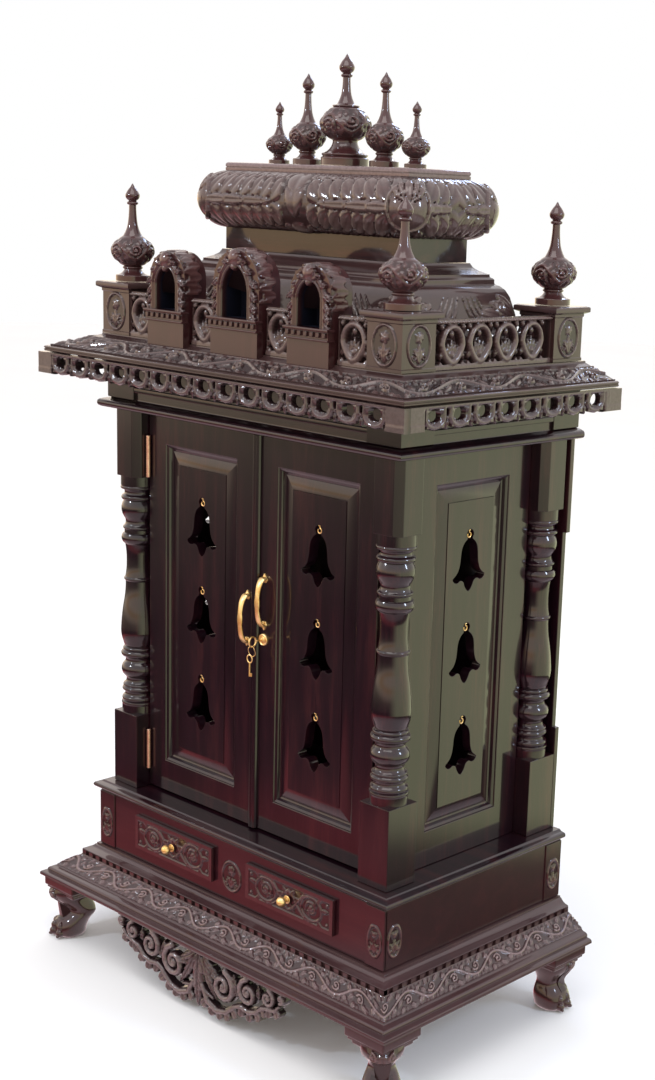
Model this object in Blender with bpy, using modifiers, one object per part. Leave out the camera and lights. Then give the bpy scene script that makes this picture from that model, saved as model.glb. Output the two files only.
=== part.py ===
# Household shrine: a carved rosewood cabinet on claw feet, with two hinged doors,
# two drawers, corner balusters, a pierced eaves valance, a niched parapet and a dome.
# Metres, +Z up. The front faces -Y and the shrine stands on z = 0.
import math

import bmesh
import bpy
from mathutils import Matrix, Vector

for old in list(bpy.data.objects):
    bpy.data.objects.remove(old, do_unlink=True)

# ---- driving dimensions -------------------------------------------------------
GAP = 0.0003                    # between pieces that touch
BODY_HALF = 0.355               # half width over the corner posts
BODY_DEPTH = 0.428              # front of the posts to the back board
BASE_OUT = 0.100                # how far the plinth stands out in front and at the sides
FRONT = -(BODY_DEPTH + BASE_OUT) / 2 + BASE_OUT
BACK = FRONT + BODY_DEPTH

PLINTH_Z = 0.118                # underside of the plinth
CASE_Z = 0.186                  # drawer stage stands here
LEDGE_Z = 0.293
FLOOR_Z = 0.311                 # top of the ledge board, the cabinet's floor
BLOCK_LOW_Z = 0.450             # top of the lower post blocks
BLOCK_HIGH_Z = 0.891            # underside of the upper post blocks
FRIEZE_Z = 1.012
ROOF_Z = 1.106
DECK_Z = 1.143                  # top of the roof board
LEDGE_DOME_Z = 1.296
CUSHION_Z = 1.334
SLAB_Z = 1.428
SLAB_TOP_Z = 1.443

POST = 0.066                    # square of the post blocks
BLOCK_CHAMFER = 0.013
CASE_OUT = 0.018                # drawer stage beyond the posts
BACK_BOARD = 0.010
WAIST_IN = 0.008                # back board is this much narrower between its ears
EAR_LOW_Z = 0.498
EAR_HIGH_Z = 0.848

DOOR_FACE = FRONT + 0.029
DOOR_THICK = 0.024
DOOR_LOW_Z = 0.3145
DOOR_HIGH_Z = 1.0045
MEETING_X = -0.009
MEETING_GAP = 0.0032
DOOR_SIDE_GAP = 0.002
STRIP_WIDTH = 0.0184
STRIP_PROUD = 0.008
SIDE_FACE = 0.323
SIDE_THICK = 0.022
PANEL_LOW_Z = 0.372
PANEL_HIGH_Z = 0.957
PANEL_INNER_X = 0.050
PANEL_OUTER_X = 0.243
SIDE_PANEL_HALF = 0.0895
BELL_HEIGHTS = (0.5045, 0.6655, 0.8230)

HINGE_HEIGHTS = (("lower", 0.385), ("upper", 0.930))
HINGE_LENGTH = 0.076
HINGE_RADIUS = 0.0042
HINGE_AXIS_X = BODY_HALF - POST - 0.0048
HINGE_AXIS_Y = DOOR_FACE - 0.005
LEAF_THICK = 0.0012
LEAF_DEEP = 0.024

HANDLE_SPAN = 0.082
HANDLE_PROUD = 0.024
HANDLE_RADIUS = 0.0036
HANDLES = (("left", -0.0195, 0.6865), ("right", 0.0235, 0.7230))
LOCK_X = 0.0222
LOCK_Z = 0.657

DRAWER_X = 0.1525
DRAWER_HALF = 0.108
DRAWER_LOW_Z = 0.2110
DRAWER_HIGH_Z = 0.2745
DRAWER_LAP = 0.008
DRAWER_FRONT_THICK = 0.009
DRAWER_DEEP = 0.300
DRAWER_WALL = 0.009
DRAWER_FLOOR = 0.005
BED_Z = 0.2165                  # top of the board that the drawers slide on
BED_THICK = 0.010
CASE_WALL = 0.015

VALANCE_OUT = 0.091
VALANCE_THICK = 0.014
VALANCE_LOW_Z = 1.068
VALANCE_HOLE_Z = 1.0895
VALANCE_PITCH = 0.0548
SCALLOP_RISE = 0.007

PEDESTAL_X = 0.3262
PEDESTAL_FRONT = FRONT + 0.0239
PEDESTAL_BACK = BACK - 0.0455
PEDESTAL_HALF = 0.0365
PEDESTAL_CAP_HALF = 0.0455
PEDESTAL_TOP_Z = 1.2335
CAP_Z = 1.222
GALLERY_THICK = 0.014
RING_HALF_WIDTH = 0.0285
RING_RIM = 0.009
NICHE_FRONT = FRONT - 0.026
NICHE_DEEP = 0.052
NICHE_WALL = 0.010
NICHE_SILL_OUT = 0.004          # the sill beyond the niche's sides, and twice that in front
ROOF_DECK_OUT = 0.012           # the deck's edge, where the slope starts

DOME_X = 0.2175                 # half sizes of the dome's neck
DOME_Y = 0.0718
DOME_MID = 0.0502                # the dome stands a little behind the pedestals' middle
CUSHION_BULGE = 0.048
CUSHION_CORNER = 0.020          # plan radius of the cushion at its top and foot

FOOT_X = BODY_HALF + 0.0505
FOOT_FRONT = FRONT - 0.0505
FOOT_BACK = BACK - 0.052
APRON_THICK = 0.018

ROUND = 8                       # sides of the turned posts, finials and brass

# ---- scene, collections, materials --------------------------------------------
pieces = bpy.data.collections.new("household_shrine")
tools = bpy.data.collections.new("cutters")
bpy.context.scene.collection.children.link(pieces)
bpy.context.scene.collection.children.link(tools)


def principled(name, colour, roughness, metallic):
    material = bpy.data.materials.new(name)
    material.use_nodes = True
    shader = material.node_tree.nodes["Principled BSDF"]
    shader.inputs["Base Color"].default_value = (*colour, 1.0)
    shader.inputs["Roughness"].default_value = roughness
    shader.inputs["Metallic"].default_value = metallic
    material.diffuse_color = (*colour, 1.0)
    return material


ROSEWOOD = principled("rosewood_lacquered", (0.075, 0.022, 0.018), 0.25, 0.0)
CARVED = principled("rosewood_carved", (0.095, 0.040, 0.033), 0.35, 0.0)
BRASS = principled("brass_polished", (0.72, 0.52, 0.22), 0.25, 1.0)


def place(name, data, material, tool=False):
    obj = bpy.data.objects.new(name, data)
    (tools if tool else pieces).objects.link(obj)
    if tool:
        obj.hide_render = True
        obj.display_type = "WIRE"
    data.materials.append(material)
    return obj


def from_bmesh(name, mesh, material, tool=False):
    bmesh.ops.recalc_face_normals(mesh, faces=mesh.faces)
    data = bpy.data.meshes.new(name)
    mesh.to_mesh(data)
    mesh.free()
    return place(name, data, material, tool)


def box(name, low, high, material, tool=False):
    low, high = Vector(low), Vector(high)
    mesh = bmesh.new()
    bmesh.ops.create_cube(mesh, size=1.0)
    bmesh.ops.scale(mesh, vec=high - low, verts=mesh.verts)
    bmesh.ops.translate(mesh, vec=(low + high) / 2, verts=mesh.verts)
    return from_bmesh(name, mesh, material, tool)


def loft(name, loops, material, tool=False):
    mesh = bmesh.new()
    rows = [[mesh.verts.new(point) for point in loop] for loop in loops]
    for low, high in zip(rows, rows[1:]):
        for i in range(len(low)):
            j = (i + 1) % len(low)
            mesh.faces.new((low[i], low[j], high[j], high[i]))
    mesh.faces.new(rows[0])
    mesh.faces.new(rows[-1])
    return from_bmesh(name, mesh, material, tool)


def closed_sweep(name, loops, material):
    """A ring: the loops are joined to each other and the last to the first."""
    mesh = bmesh.new()
    rows = [[mesh.verts.new(point) for point in loop] for loop in loops]
    for k, low in enumerate(rows):
        high = rows[(k + 1) % len(rows)]
        for i in range(len(low)):
            j = (i + 1) % len(low)
            mesh.faces.new((low[i], low[j], high[j], high[i]))
    return from_bmesh(name, mesh, material)


def turned(name, profile, centre, sides, material, tool=False):
    """A profile of (radius, height) from top to bottom, turned about Z through centre."""
    mesh = bpy.data.meshes.new(name)
    points = [(radius, 0.0, height) for radius, height in profile]
    mesh.from_pydata(points, [(i, i + 1) for i in range(len(points) - 1)], [])
    obj = place(name, mesh, material, tool)
    obj.location = centre
    screw = obj.modifiers.new("turn", "SCREW")
    screw.steps = sides
    screw.render_steps = sides
    screw.use_merge_vertices = True
    screw.merge_threshold = 0.00001
    screw.use_smooth_shade = True
    return obj


def flat_curve(name, outlines, thickness, material):
    """Closed outlines in the curve's XY plane; the first is the edge, the rest are holes."""
    curve = bpy.data.curves.new(name, "CURVE")
    curve.dimensions = "2D"
    curve.fill_mode = "BOTH"
    curve.extrude = thickness / 2
    for outline in outlines:
        spline = curve.splines.new("POLY")
        spline.points.add(len(outline) - 1)
        for point, (x, y) in zip(spline.points, outline):
            point.co = (x, y, 0.0, 1.0)
        spline.use_cyclic_u = True
    return place(name, curve, material)


def to_mesh(obj, tool=False):
    """Replace a curve by its welded mesh, in the same place."""
    bpy.context.view_layer.update()
    evaluated = obj.evaluated_get(bpy.context.evaluated_depsgraph_get())
    data = bpy.data.meshes.new_from_object(evaluated)
    name, matrix, material = obj.name, obj.matrix_world.copy(), obj.data.materials[0]
    bpy.data.objects.remove(obj, do_unlink=True)
    mesh = bmesh.new()
    mesh.from_mesh(data)
    bmesh.ops.remove_doubles(mesh, verts=mesh.verts, dist=0.000005)
    new = from_bmesh(name, mesh, material, tool)
    new.matrix_world = matrix
    return new


def boolean(obj, tool, operation):
    modifier = obj.modifiers.new(operation.lower(), "BOOLEAN")
    modifier.operation = operation
    modifier.object = tool


def upright(obj, x=0.0, y=0.0, z=0.0, turn=0.0):
    """Stand a flat curve up: its X runs along world X, turned about Z, and its Y upwards."""
    stand = Matrix.Rotation(turn, 4, "Z") @ Matrix.Rotation(math.pi / 2, 4, "X")
    obj.matrix_world = Matrix.Translation((x, y, z)) @ stand


# ---- outlines -----------------------------------------------------------------
def rectangle(out, z, back_out=0.0):
    """Corners of the body's plan, moved outwards in front and at the sides."""
    half, front, back = BODY_HALF + out, FRONT - out, BACK + back_out
    return [(-half, front, z), (half, front, z), (half, back, z), (-half, back, z)]


def square(x, y, half, z):
    turns = ((-1, -1), (1, -1), (1, 1), (-1, 1))
    return [(x + half * across, y + half * deep, z) for across, deep in turns]


def oval(x, y, half_width, half_height, sides, start=0.0):
    turns = [start + 2 * math.pi * i / sides for i in range(sides)]
    return [(x + half_width * math.cos(t), y + half_height * math.sin(t)) for t in turns]


def rounded_rectangle(half_x, half_y, radius, z, steps=4):
    points = []
    for k, (sx, sy) in enumerate(((1, 1), (-1, 1), (-1, -1), (1, -1))):
        for i in range(steps + 1):
            t = math.pi / 2 * (k + i / steps)
            x = sx * (half_x - radius) + radius * math.cos(t)
            y = DOME_MID + sy * (half_y - radius) + radius * math.sin(t)
            points.append((x, y, z))
    return points


def arch(half_width, low, spring, top, steps=8):
    """A round-headed outline, symmetric about x = 0."""
    points = [(half_width, low)]
    for i in range(steps + 1):
        t = math.pi * i / steps
        points.append((half_width * math.cos(t), spring + (top - spring) * math.sin(t)))
    return points + [(-half_width, low)]


BELL_HALF = ((0.000, 0.052), (0.008, 0.043), (0.006, 0.036), (0.019, 0.021), (0.024, -0.012),
             (0.039, -0.027), (0.033, -0.035), (0.013, -0.037), (0.000, -0.0525))
BELL = list(BELL_HALF) + [(-x, y) for x, y in reversed(BELL_HALF[1:-1])]


# ---- feet and plinth ----------------------------------------------------------
def foot(name, side, end, centre_y, kick):
    """A block with a step, a leg that curves in and a claw that kicks outwards."""
    x = side * FOOT_X
    block = [square(x, centre_y, half, z) for half, z in ((0.044, PLINTH_Z - GAP), (0.044, 0.098))]
    step = [square(x, centre_y, half, z) for half, z in ((0.036, 0.0975), (0.030, 0.083))]
    leg_rows = (  # height, outward shift, half length outwards, half width across
        (0.100, 0.012, 0.034, 0.034), (0.078, 0.014, 0.035, 0.033), (0.052, 0.005, 0.031, 0.026),
        (0.040, 0.012, 0.036, 0.031), (0.024, 0.020, 0.038, 0.036), (0.008, 0.020, 0.034, 0.034),
        (0.000, 0.017, 0.025, 0.027))
    outward = Vector((side, end, 0.0)).normalized()
    across = Vector((-outward.y, outward.x, 0.0))
    loops = []
    for z, shift, long_half, wide_half in leg_rows:
        middle = Vector((x, centre_y, z)) + outward * (shift * kick)
        turns = [2 * math.pi * (i + 0.5) / ROUND for i in range(ROUND)]
        loops.append([middle + outward * (long_half * math.cos(t)) + across * (wide_half * math.sin(t))
                      for t in turns])
    leg = loft(name, loops, CARVED)
    boolean(leg, loft(name + "_step", step, CARVED, tool=True), "UNION")
    boolean(leg, loft(name + "_block", block, CARVED, tool=True), "UNION")


def plinth():
    """A mitred moulded frame: steps, a sloped carved band and a hollow."""
    outer = [(0.100, 0.118), (0.100, 0.126), (0.088, 0.128), (0.088, 0.135), (0.077, 0.138),
             (0.076, 0.144), (0.044, 0.165), (0.040, 0.169), (0.030, 0.175), (0.025, 0.182),
             (0.024, CASE_Z)]
    width = 0.022
    loops = [rectangle(out, z) for out, z in outer]
    loops += [rectangle(-width, z, back_out=-width) for z in (CASE_Z, PLINTH_Z)]
    closed_sweep("plinth", loops, CARVED)


def apron():
    """The pendant under the front: a scalloped bowl of scrolls, pierced."""
    half, top, low = 0.225, PLINTH_Z - GAP, 0.009
    rail = top - 0.012
    steps = 2 * 11
    edge = [(half, top)]
    for i in range(steps + 1):
        t = math.pi * i / steps
        reach = 1.0 if i % 2 else 0.955
        drop = (rail - low) * reach * math.sin(t) ** 0.85
        edge.append((half * reach * math.cos(t), rail - drop))
    edge.append((-half, top))
    holes = []
    for radius, count, size in ((0.145, 4, 0.017), (0.080, 2, 0.014)):
        for i in range(count):
            t = math.pi * (i + 0.5) / count
            x, z = radius * math.cos(t), top - 0.010 - 0.50 * radius * math.sin(t)
            holes.append(oval(x, z, size, 0.55 * size, 6))
    board = flat_curve("apron", [edge] + holes, APRON_THICK, CARVED)
    upright(board, y=FRONT - BASE_OUT + APRON_THICK / 2 + 0.003)


# ---- drawer stage -------------------------------------------------------------
def drawer_case():
    """An open-topped case with two bays; its floor is the bed that the drawers slide on."""
    half, front, past = BODY_HALF + CASE_OUT, FRONT - CASE_OUT, 0.01
    case = box("drawer_case", (-half, front, CASE_Z + GAP), (half, BACK, LEDGE_Z - GAP), ROSEWOOD)
    inside = half - CASE_WALL
    divider = 0.009
    cuts = [((-inside, front + CASE_WALL, 0.0), (inside, BACK - CASE_WALL, BED_Z - BED_THICK))]
    for low, high in ((-inside, -divider), (divider, inside)):
        cuts.append(((low, front + CASE_WALL, BED_Z), (high, BACK - CASE_WALL, LEDGE_Z + past)))
    for side in (-1, 1):
        middle, opening = side * DRAWER_X, DRAWER_HALF - DRAWER_LAP
        cuts.append(((middle - opening, front - past, BED_Z),
                     (middle + opening, front + CASE_WALL + 0.002, DRAWER_HIGH_Z - DRAWER_LAP)))
    for k, (low, high) in enumerate(cuts):
        boolean(case, box(f"case_cut_{k}", low, high, ROSEWOOD, tool=True), "DIFFERENCE")


def drawer(name, middle):
    """A hollow tray with a front that laps over the opening."""
    face = FRONT - CASE_OUT - GAP
    front = box(name, (middle - DRAWER_HALF, face - DRAWER_FRONT_THICK, DRAWER_LOW_Z),
                (middle + DRAWER_HALF, face, DRAWER_HIGH_Z), CARVED)
    half = DRAWER_HALF - DRAWER_LAP - 0.0015
    low, high = BED_Z + GAP, DRAWER_HIGH_Z - DRAWER_LAP - 0.0025
    inner = half - DRAWER_WALL
    tray = box(name + "_tray", (middle - half, face - 0.002, low),
               (middle + half, face + DRAWER_DEEP, high), ROSEWOOD, tool=True)
    hollow = box(name + "_hollow", (middle - inner, face + DRAWER_WALL, low + DRAWER_FLOOR),
                 (middle + inner, face + DRAWER_DEEP - DRAWER_WALL, high + 0.01), ROSEWOOD, tool=True)
    boolean(front, tray, "UNION")
    boolean(front, hollow, "DIFFERENCE")


def knob(name, middle):
    height = (DRAWER_LOW_Z + DRAWER_HIGH_Z) / 2
    profile = [(0.0, 0.022), (0.006, 0.021), (0.009, 0.016), (0.008, 0.011), (0.0042, 0.007),
               (0.0042, 0.002), (0.0075, 0.0015), (0.0075, 0.0), (0.0, 0.0)]
    face = FRONT - CASE_OUT - 2 * GAP - DRAWER_FRONT_THICK
    piece = turned(name, profile, (middle, face, height), ROUND, BRASS)
    piece.rotation_euler = (math.pi / 2, 0.0, 0.0)


def ledge_board():
    profile = [(0.019, LEDGE_Z), (0.024, 0.2965), (0.029, 0.3005), (0.029, 0.3040), (0.024, 0.3080),
               (0.014, FLOOR_Z)]
    loft("ledge_board", [rectangle(out, z) for out, z in profile], ROSEWOOD)


# ---- cabinet ------------------------------------------------------------------
POST_PROFILE = (  # radius, height, from the upper block down to the lower one
    (0.000, 0.895), (0.033, 0.895), (0.033, 0.869), (0.026, 0.860), (0.0325, 0.847), (0.029, 0.831),
    (0.032, 0.815), (0.027, 0.791), (0.031, 0.774), (0.0265, 0.757), (0.0225, 0.730), (0.027, 0.702),
    (0.025, 0.692), (0.0285, 0.655), (0.033, 0.612), (0.029, 0.583), (0.026, 0.570), (0.033, 0.561),
    (0.026, 0.551), (0.0325, 0.527), (0.026, 0.508), (0.031, 0.495), (0.028, 0.485), (0.033, 0.466),
    (0.033, 0.446), (0.000, 0.446))


def post(name, x, y):
    half = POST / 2
    low = box(name, (x - half, y - half, FLOOR_Z + GAP), (x + half, y + half, BLOCK_LOW_Z), ROSEWOOD)
    high = box(name + "_upper", (x - half, y - half, BLOCK_HIGH_Z),
               (x + half, y + half, FRIEZE_Z - GAP), ROSEWOOD, tool=True)
    mesh = bmesh.new()
    mesh.from_mesh(high.data)
    upright_edges = [e for e in mesh.edges if abs(e.verts[0].co.z - e.verts[1].co.z) > POST]
    bmesh.ops.bevel(mesh, geom=upright_edges, offset=BLOCK_CHAMFER, segments=1, profile=0.5,
                    affect="EDGES")
    mesh.to_mesh(high.data)
    mesh.free()
    column = turned(name + "_column", POST_PROFILE, (x, y, 0.0), ROUND, ROSEWOOD, tool=True)
    boolean(low, column, "UNION")
    boolean(low, high, "UNION")


def raised_leaf(name, corner, across, inward, width, height, thickness, opening, bell_heights):
    """A framed raised panel. opening is (low u, high u, low v, high v) in the leaf's own plane."""
    corner, across, inward, up = Vector(corner), Vector(across), Vector(inward), Vector((0, 0, 1))

    def loop(u0, u1, v0, v1, depth):
        corners = ((u0, v0), (u1, v0), (u1, v1), (u0, v1))
        return [corner + across * u + up * v + inward * depth for u, v in corners]

    u0, u1, v0, v1 = opening
    steps = ((0.0, 0.0), (0.004, 0.003), (0.008, 0.009), (0.011, 0.010), (0.034, 0.005), (0.034, 0.0035))
    loops = [loop(0, width, 0, height, thickness), loop(0, width, 0, height, 0)]
    loops += [loop(u0 + inset, u1 - inset, v0 + inset, v1 - inset, depth) for inset, depth in steps]
    leaf = loft(name, loops, ROSEWOOD)
    middle, past = (u0 + u1) / 2, 0.01
    for k, height_z in enumerate(bell_heights):
        rows = []
        for depth in (-past, thickness + past):
            rows.append([corner + across * (middle + x) + up * (height_z - corner.z + z)
                         + inward * depth for x, z in BELL])
        boolean(leaf, loft(f"{name}_bell_{k}", rows, ROSEWOOD, tool=True), "DIFFERENCE")
    return leaf


def side_panel(name, side):
    front, back = FRONT + POST + GAP, BACK - BACK_BOARD - GAP - POST - GAP
    middle = (front + back) / 2 - front
    opening = (middle - SIDE_PANEL_HALF, middle + SIDE_PANEL_HALF,
               PANEL_LOW_Z - FLOOR_Z - GAP, PANEL_HIGH_Z - FLOOR_Z - GAP)
    raised_leaf(name, (side * SIDE_FACE, front, FLOOR_Z + GAP), (0, 1, 0), (-side, 0, 0), back - front,
                FRIEZE_Z - FLOOR_Z - 2 * GAP, SIDE_THICK, opening, BELL_HEIGHTS)


def back_board():
    low, high = FLOOR_Z + GAP, FRIEZE_Z - GAP
    half, waist = BODY_HALF, BODY_HALF - WAIST_IN
    right = [(half, low), (half, EAR_LOW_Z), (waist, EAR_LOW_Z), (waist, EAR_HIGH_Z),
             (half, EAR_HIGH_Z), (half, high)]
    left = [(-x, z) for x, z in reversed(right)]
    board = flat_curve("back_board", [right + left], BACK_BOARD, ROSEWOOD)
    upright(board, y=BACK - BACK_BOARD / 2)


def doors():
    inner = BODY_HALF - POST - DOOR_SIDE_GAP
    left_edge = MEETING_X - MEETING_GAP / 2
    right_edge = MEETING_X + MEETING_GAP / 2
    for name, low, high in (("door_left", -inner, left_edge), ("door_right", right_edge, inner)):
        near, far = sorted((abs(PANEL_INNER_X), abs(PANEL_OUTER_X)))
        u_range = (-far - low, -near - low) if name == "door_left" else (near - low, far - low)
        opening = (*u_range, PANEL_LOW_Z - DOOR_LOW_Z, PANEL_HIGH_Z - DOOR_LOW_Z)
        leaf = raised_leaf(name, (low, DOOR_FACE, DOOR_LOW_Z), (1, 0, 0), (0, 1, 0), high - low,
                           DOOR_HIGH_Z - DOOR_LOW_Z, DOOR_THICK, opening, BELL_HEIGHTS)
        if name == "door_right":
            boolean(leaf, cover_strip(right_edge), "UNION")


def cover_strip(edge):
    """A half-round strip on the right door, beside the line where the doors meet."""
    steps, sunk = 6, DOOR_FACE + 0.002
    rows = []
    for z in (DOOR_LOW_Z, DOOR_HIGH_Z):
        row = [(edge, sunk, z)]
        for i in range(steps + 1):
            t = math.pi * i / steps
            x, y = edge + STRIP_WIDTH * (1 - math.cos(t)) / 2, DOOR_FACE - STRIP_PROUD * math.sin(t)
            row.append((x, y, z))
        rows.append(row + [(edge + STRIP_WIDTH, sunk, z)])
    return loft("cover_strip", rows, ROSEWOOD, tool=True)


def hinge(name, side, height):
    """The knuckles and the leaf let into the post's inner face."""
    z0, z1 = height - HINGE_LENGTH / 2, height + HINGE_LENGTH / 2
    profile = [(0.0, z1), (HINGE_RADIUS, z1), (HINGE_RADIUS, z0), (0.0, z0)]
    outer = side * (BODY_HALF - POST - GAP)
    inner = outer - side * LEAF_THICK
    leaf = box(name, (min(outer, inner), HINGE_AXIS_Y, z0 + 0.001),
               (max(outer, inner), HINGE_AXIS_Y + LEAF_DEEP, z1 - 0.001), BRASS)
    knuckles = turned(name + "_knuckles", profile, (side * HINGE_AXIS_X, HINGE_AXIS_Y, 0.0), ROUND,
                      BRASS, tool=True)
    boolean(leaf, knuckles, "UNION")


def handle(name, x, height):
    """A bow between two round lugs."""
    face = DOOR_FACE - GAP
    curve = bpy.data.curves.new(name + "_bow", "CURVE")
    curve.dimensions = "3D"
    curve.bevel_depth = HANDLE_RADIUS
    curve.bevel_resolution = 1
    curve.use_fill_caps = True
    spline = curve.splines.new("POLY")
    steps = 7
    spline.points.add(steps)
    for i, point in enumerate(spline.points):
        t = math.pi * i / steps
        z = height + HANDLE_SPAN / 2 * math.cos(t)
        point.co = (x, face - 0.0015 - HANDLE_PROUD * math.sin(t) ** 0.7, z, 1.0)
    bow = to_mesh(place(name + "_bow", curve, BRASS), tool=True)
    lugs = []
    for k, end in enumerate((-1, 1)):
        profile = [(0.0, 0.0045), (0.0045, 0.0045), (0.0075, 0.001), (0.0075, 0.0), (0.0, 0.0)]
        foot_z = height + end * HANDLE_SPAN / 2
        lug = turned(f"{name}_lug_{k}" if k else name, profile, (x, face, foot_z), ROUND, BRASS,
                     tool=bool(k))
        lug.rotation_euler = (math.pi / 2, 0.0, 0.0)
        lugs.append(lug)
    boolean(lugs[0], bow, "UNION")
    boolean(lugs[0], lugs[1], "UNION")


def lock():
    face = DOOR_FACE - GAP
    profile = [(0.0, 0.006), (0.0042, 0.006), (0.0042, 0.0035), (0.0085, 0.003), (0.0105, 0.001),
               (0.0105, 0.0), (0.0, 0.0)]
    rose = turned("lock_rose", profile, (LOCK_X, face, LOCK_Z), ROUND, BRASS)
    rose.rotation_euler = (math.pi / 2, 0.0, 0.0)
    bow = [(0.0, 0.0015), (0.009, 0.0015), (0.009, -0.0015), (0.0, -0.0015)]
    key_front = face - 0.006 - GAP
    half_thick, half_tall, stem_reach, bow_reach = 0.0014, 0.0022, 0.014, 0.019
    key = turned("key", bow, (LOCK_X, key_front - bow_reach, LOCK_Z), ROUND, BRASS)
    key.rotation_euler = (0.0, math.pi / 2, 0.0)
    stem = box("key_stem", (LOCK_X - half_thick, key_front - stem_reach, LOCK_Z - half_tall),
               (LOCK_X + half_thick, key_front, LOCK_Z + half_tall), BRASS, tool=True)
    boolean(key, stem, "UNION")


# ---- frieze, roof and valance ---------------------------------------------------
def frieze():
    """A tray: the cabinet's ceiling with a half-round nose, and the frieze's four boards on it."""
    inner = 0.009
    outer = [(0.009, FRIEZE_Z), (0.015, 1.0135), (0.019, 1.0175), (0.019, 1.0225), (0.015, 1.0265),
             (0.008, 1.0285), (0.006, 1.0310), (0.006, ROOF_Z - GAP)]
    loops = [rectangle(out, z) for out, z in outer]
    loops += [rectangle(-inner, z, back_out=-0.015) for z in (ROOF_Z - GAP, FRIEZE_Z + 0.014)]
    loft("frieze", loops, ROSEWOOD)


def roof_board():
    profile = [(0.078, ROOF_Z + 2 * GAP), (0.084, 1.1090), (0.084, 1.1140), (0.079, 1.1165),
               (ROOF_DECK_OUT, 1.1415), (ROOF_DECK_OUT, DECK_Z)]
    loft("roof_board", [rectangle(out, z) for out, z in profile], CARVED)


def valance(name, low, high, first, count):
    """A board with a scalloped lower edge and a hole in each scallop."""
    edge = [(low, ROOF_Z), (low, VALANCE_LOW_Z)]
    start = first - VALANCE_PITCH / 2
    for k in range(count):
        for reach in (-0.22, 0.22):
            edge.append((start + VALANCE_PITCH * (k + 0.5 + reach), VALANCE_LOW_Z))
        if k < count - 1:
            edge.append((start + VALANCE_PITCH * (k + 1), VALANCE_LOW_Z + SCALLOP_RISE))
    edge += [(high, VALANCE_LOW_Z), (high, ROOF_Z)]
    holes = [oval(first + VALANCE_PITCH * k, VALANCE_HOLE_Z, 0.0085, 0.0075, 6, math.pi / 6)
             for k in range(count)]
    return flat_curve(name, [edge] + holes, VALANCE_THICK, CARVED)


def valances():
    half = BODY_HALF + VALANCE_OUT
    front = FRONT - VALANCE_OUT
    count = 15
    board = valance("valance_front", -half, half, -VALANCE_PITCH * (count - 1) / 2, count)
    upright(board, y=front + VALANCE_THICK / 2)
    low, high = front + VALANCE_THICK + GAP, BACK
    count = 8
    first = low + 0.054
    for name, side in (("valance_left", -1), ("valance_right", 1)):
        board = valance(name, low, high, first, count)
        upright(board, x=side * (half - VALANCE_THICK / 2), turn=math.pi / 2)


# ---- parapet --------------------------------------------------------------------
def pedestal(name, x, y):
    cap = PEDESTAL_CAP_HALF
    profile = [(PEDESTAL_HALF, DECK_Z + GAP), (PEDESTAL_HALF, CAP_Z - 0.002), (cap - 0.004, CAP_Z),
               (cap, CAP_Z + 0.003), (cap, PEDESTAL_TOP_Z - 0.003), (cap - 0.004, PEDESTAL_TOP_Z)]
    loft(name, [square(x, y, half, z) for half, z in profile], CARVED)


FINIAL_PROFILE = (  # radius and height of a corner finial above its seat, from the tip down
    (0.000, 0.1665), (0.009, 0.150), (0.011, 0.136), (0.005, 0.126), (0.0065, 0.100), (0.013, 0.079),
    (0.030, 0.066), (0.0365, 0.053), (0.031, 0.037), (0.0125, 0.024), (0.029, 0.011), (0.029, 0.000),
    (0.000, 0.000))
TOP_PROFILE = (  # the middle finial on the dome, with a collar over its bulb
    (0.000, 0.181), (0.0075, 0.171), (0.012, 0.157), (0.006, 0.145), (0.0065, 0.118), (0.013, 0.102),
    (0.0216, 0.098), (0.031, 0.090), (0.042, 0.071), (0.037, 0.053), (0.021, 0.041), (0.024, 0.032),
    (0.037, 0.018), (0.0405, 0.008), (0.0405, 0.000), (0.000, 0.000))


def finial(name, x, y, z, wide=1.0, tall=1.0, profile=FINIAL_PROFILE):
    scaled = [(radius * wide, height * tall) for radius, height in profile]
    turned(name, scaled, (x, y, z + GAP), ROUND, CARVED)


def niche(name, x, half_width, top):
    """A little vaulted shrine, open in front, on a box with a sill; its toe follows the roof's slope."""
    front, deep, wall = NICHE_FRONT, NICHE_DEEP, NICHE_WALL
    foot_z = DECK_Z + GAP
    outline = flat_curve(name, [arch(half_width, foot_z, 1.250, top)], deep, CARVED)
    body = to_mesh(stand(outline, x, front + deep / 2))
    sill_half, sill_low, sill_high = half_width + NICHE_SILL_OUT, 1.177, 1.197
    sill = box(name + "_sill", (x - sill_half, front - 2 * NICHE_SILL_OUT, sill_low),
               (x + sill_half, front + 0.020, sill_high), CARVED, tool=True)
    opening = flat_curve(name + "_hollow", [arch(half_width * 0.56, sill_high, 1.238, top - 0.022)],
                         deep, CARVED)
    hollow = to_mesh(stand(opening, x, front + deep / 2 - wall), tool=True)
    edge_y, toe_z, overlap_z = FRONT - ROOF_DECK_OUT - GAP, 1.1367, foot_z + 0.01
    sides = []
    for end in (x - half_width, x + half_width):
        sides.append([(end, front, toe_z), (end, edge_y, foot_z), (end, edge_y, overlap_z),
                      (end, front, overlap_z)])
    boolean(body, loft(name + "_toe", sides, CARVED, tool=True), "UNION")
    boolean(body, sill, "UNION")
    boolean(body, hollow, "DIFFERENCE")


def stand(obj, x, y):
    upright(obj, x=x, y=y)
    return obj


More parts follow.
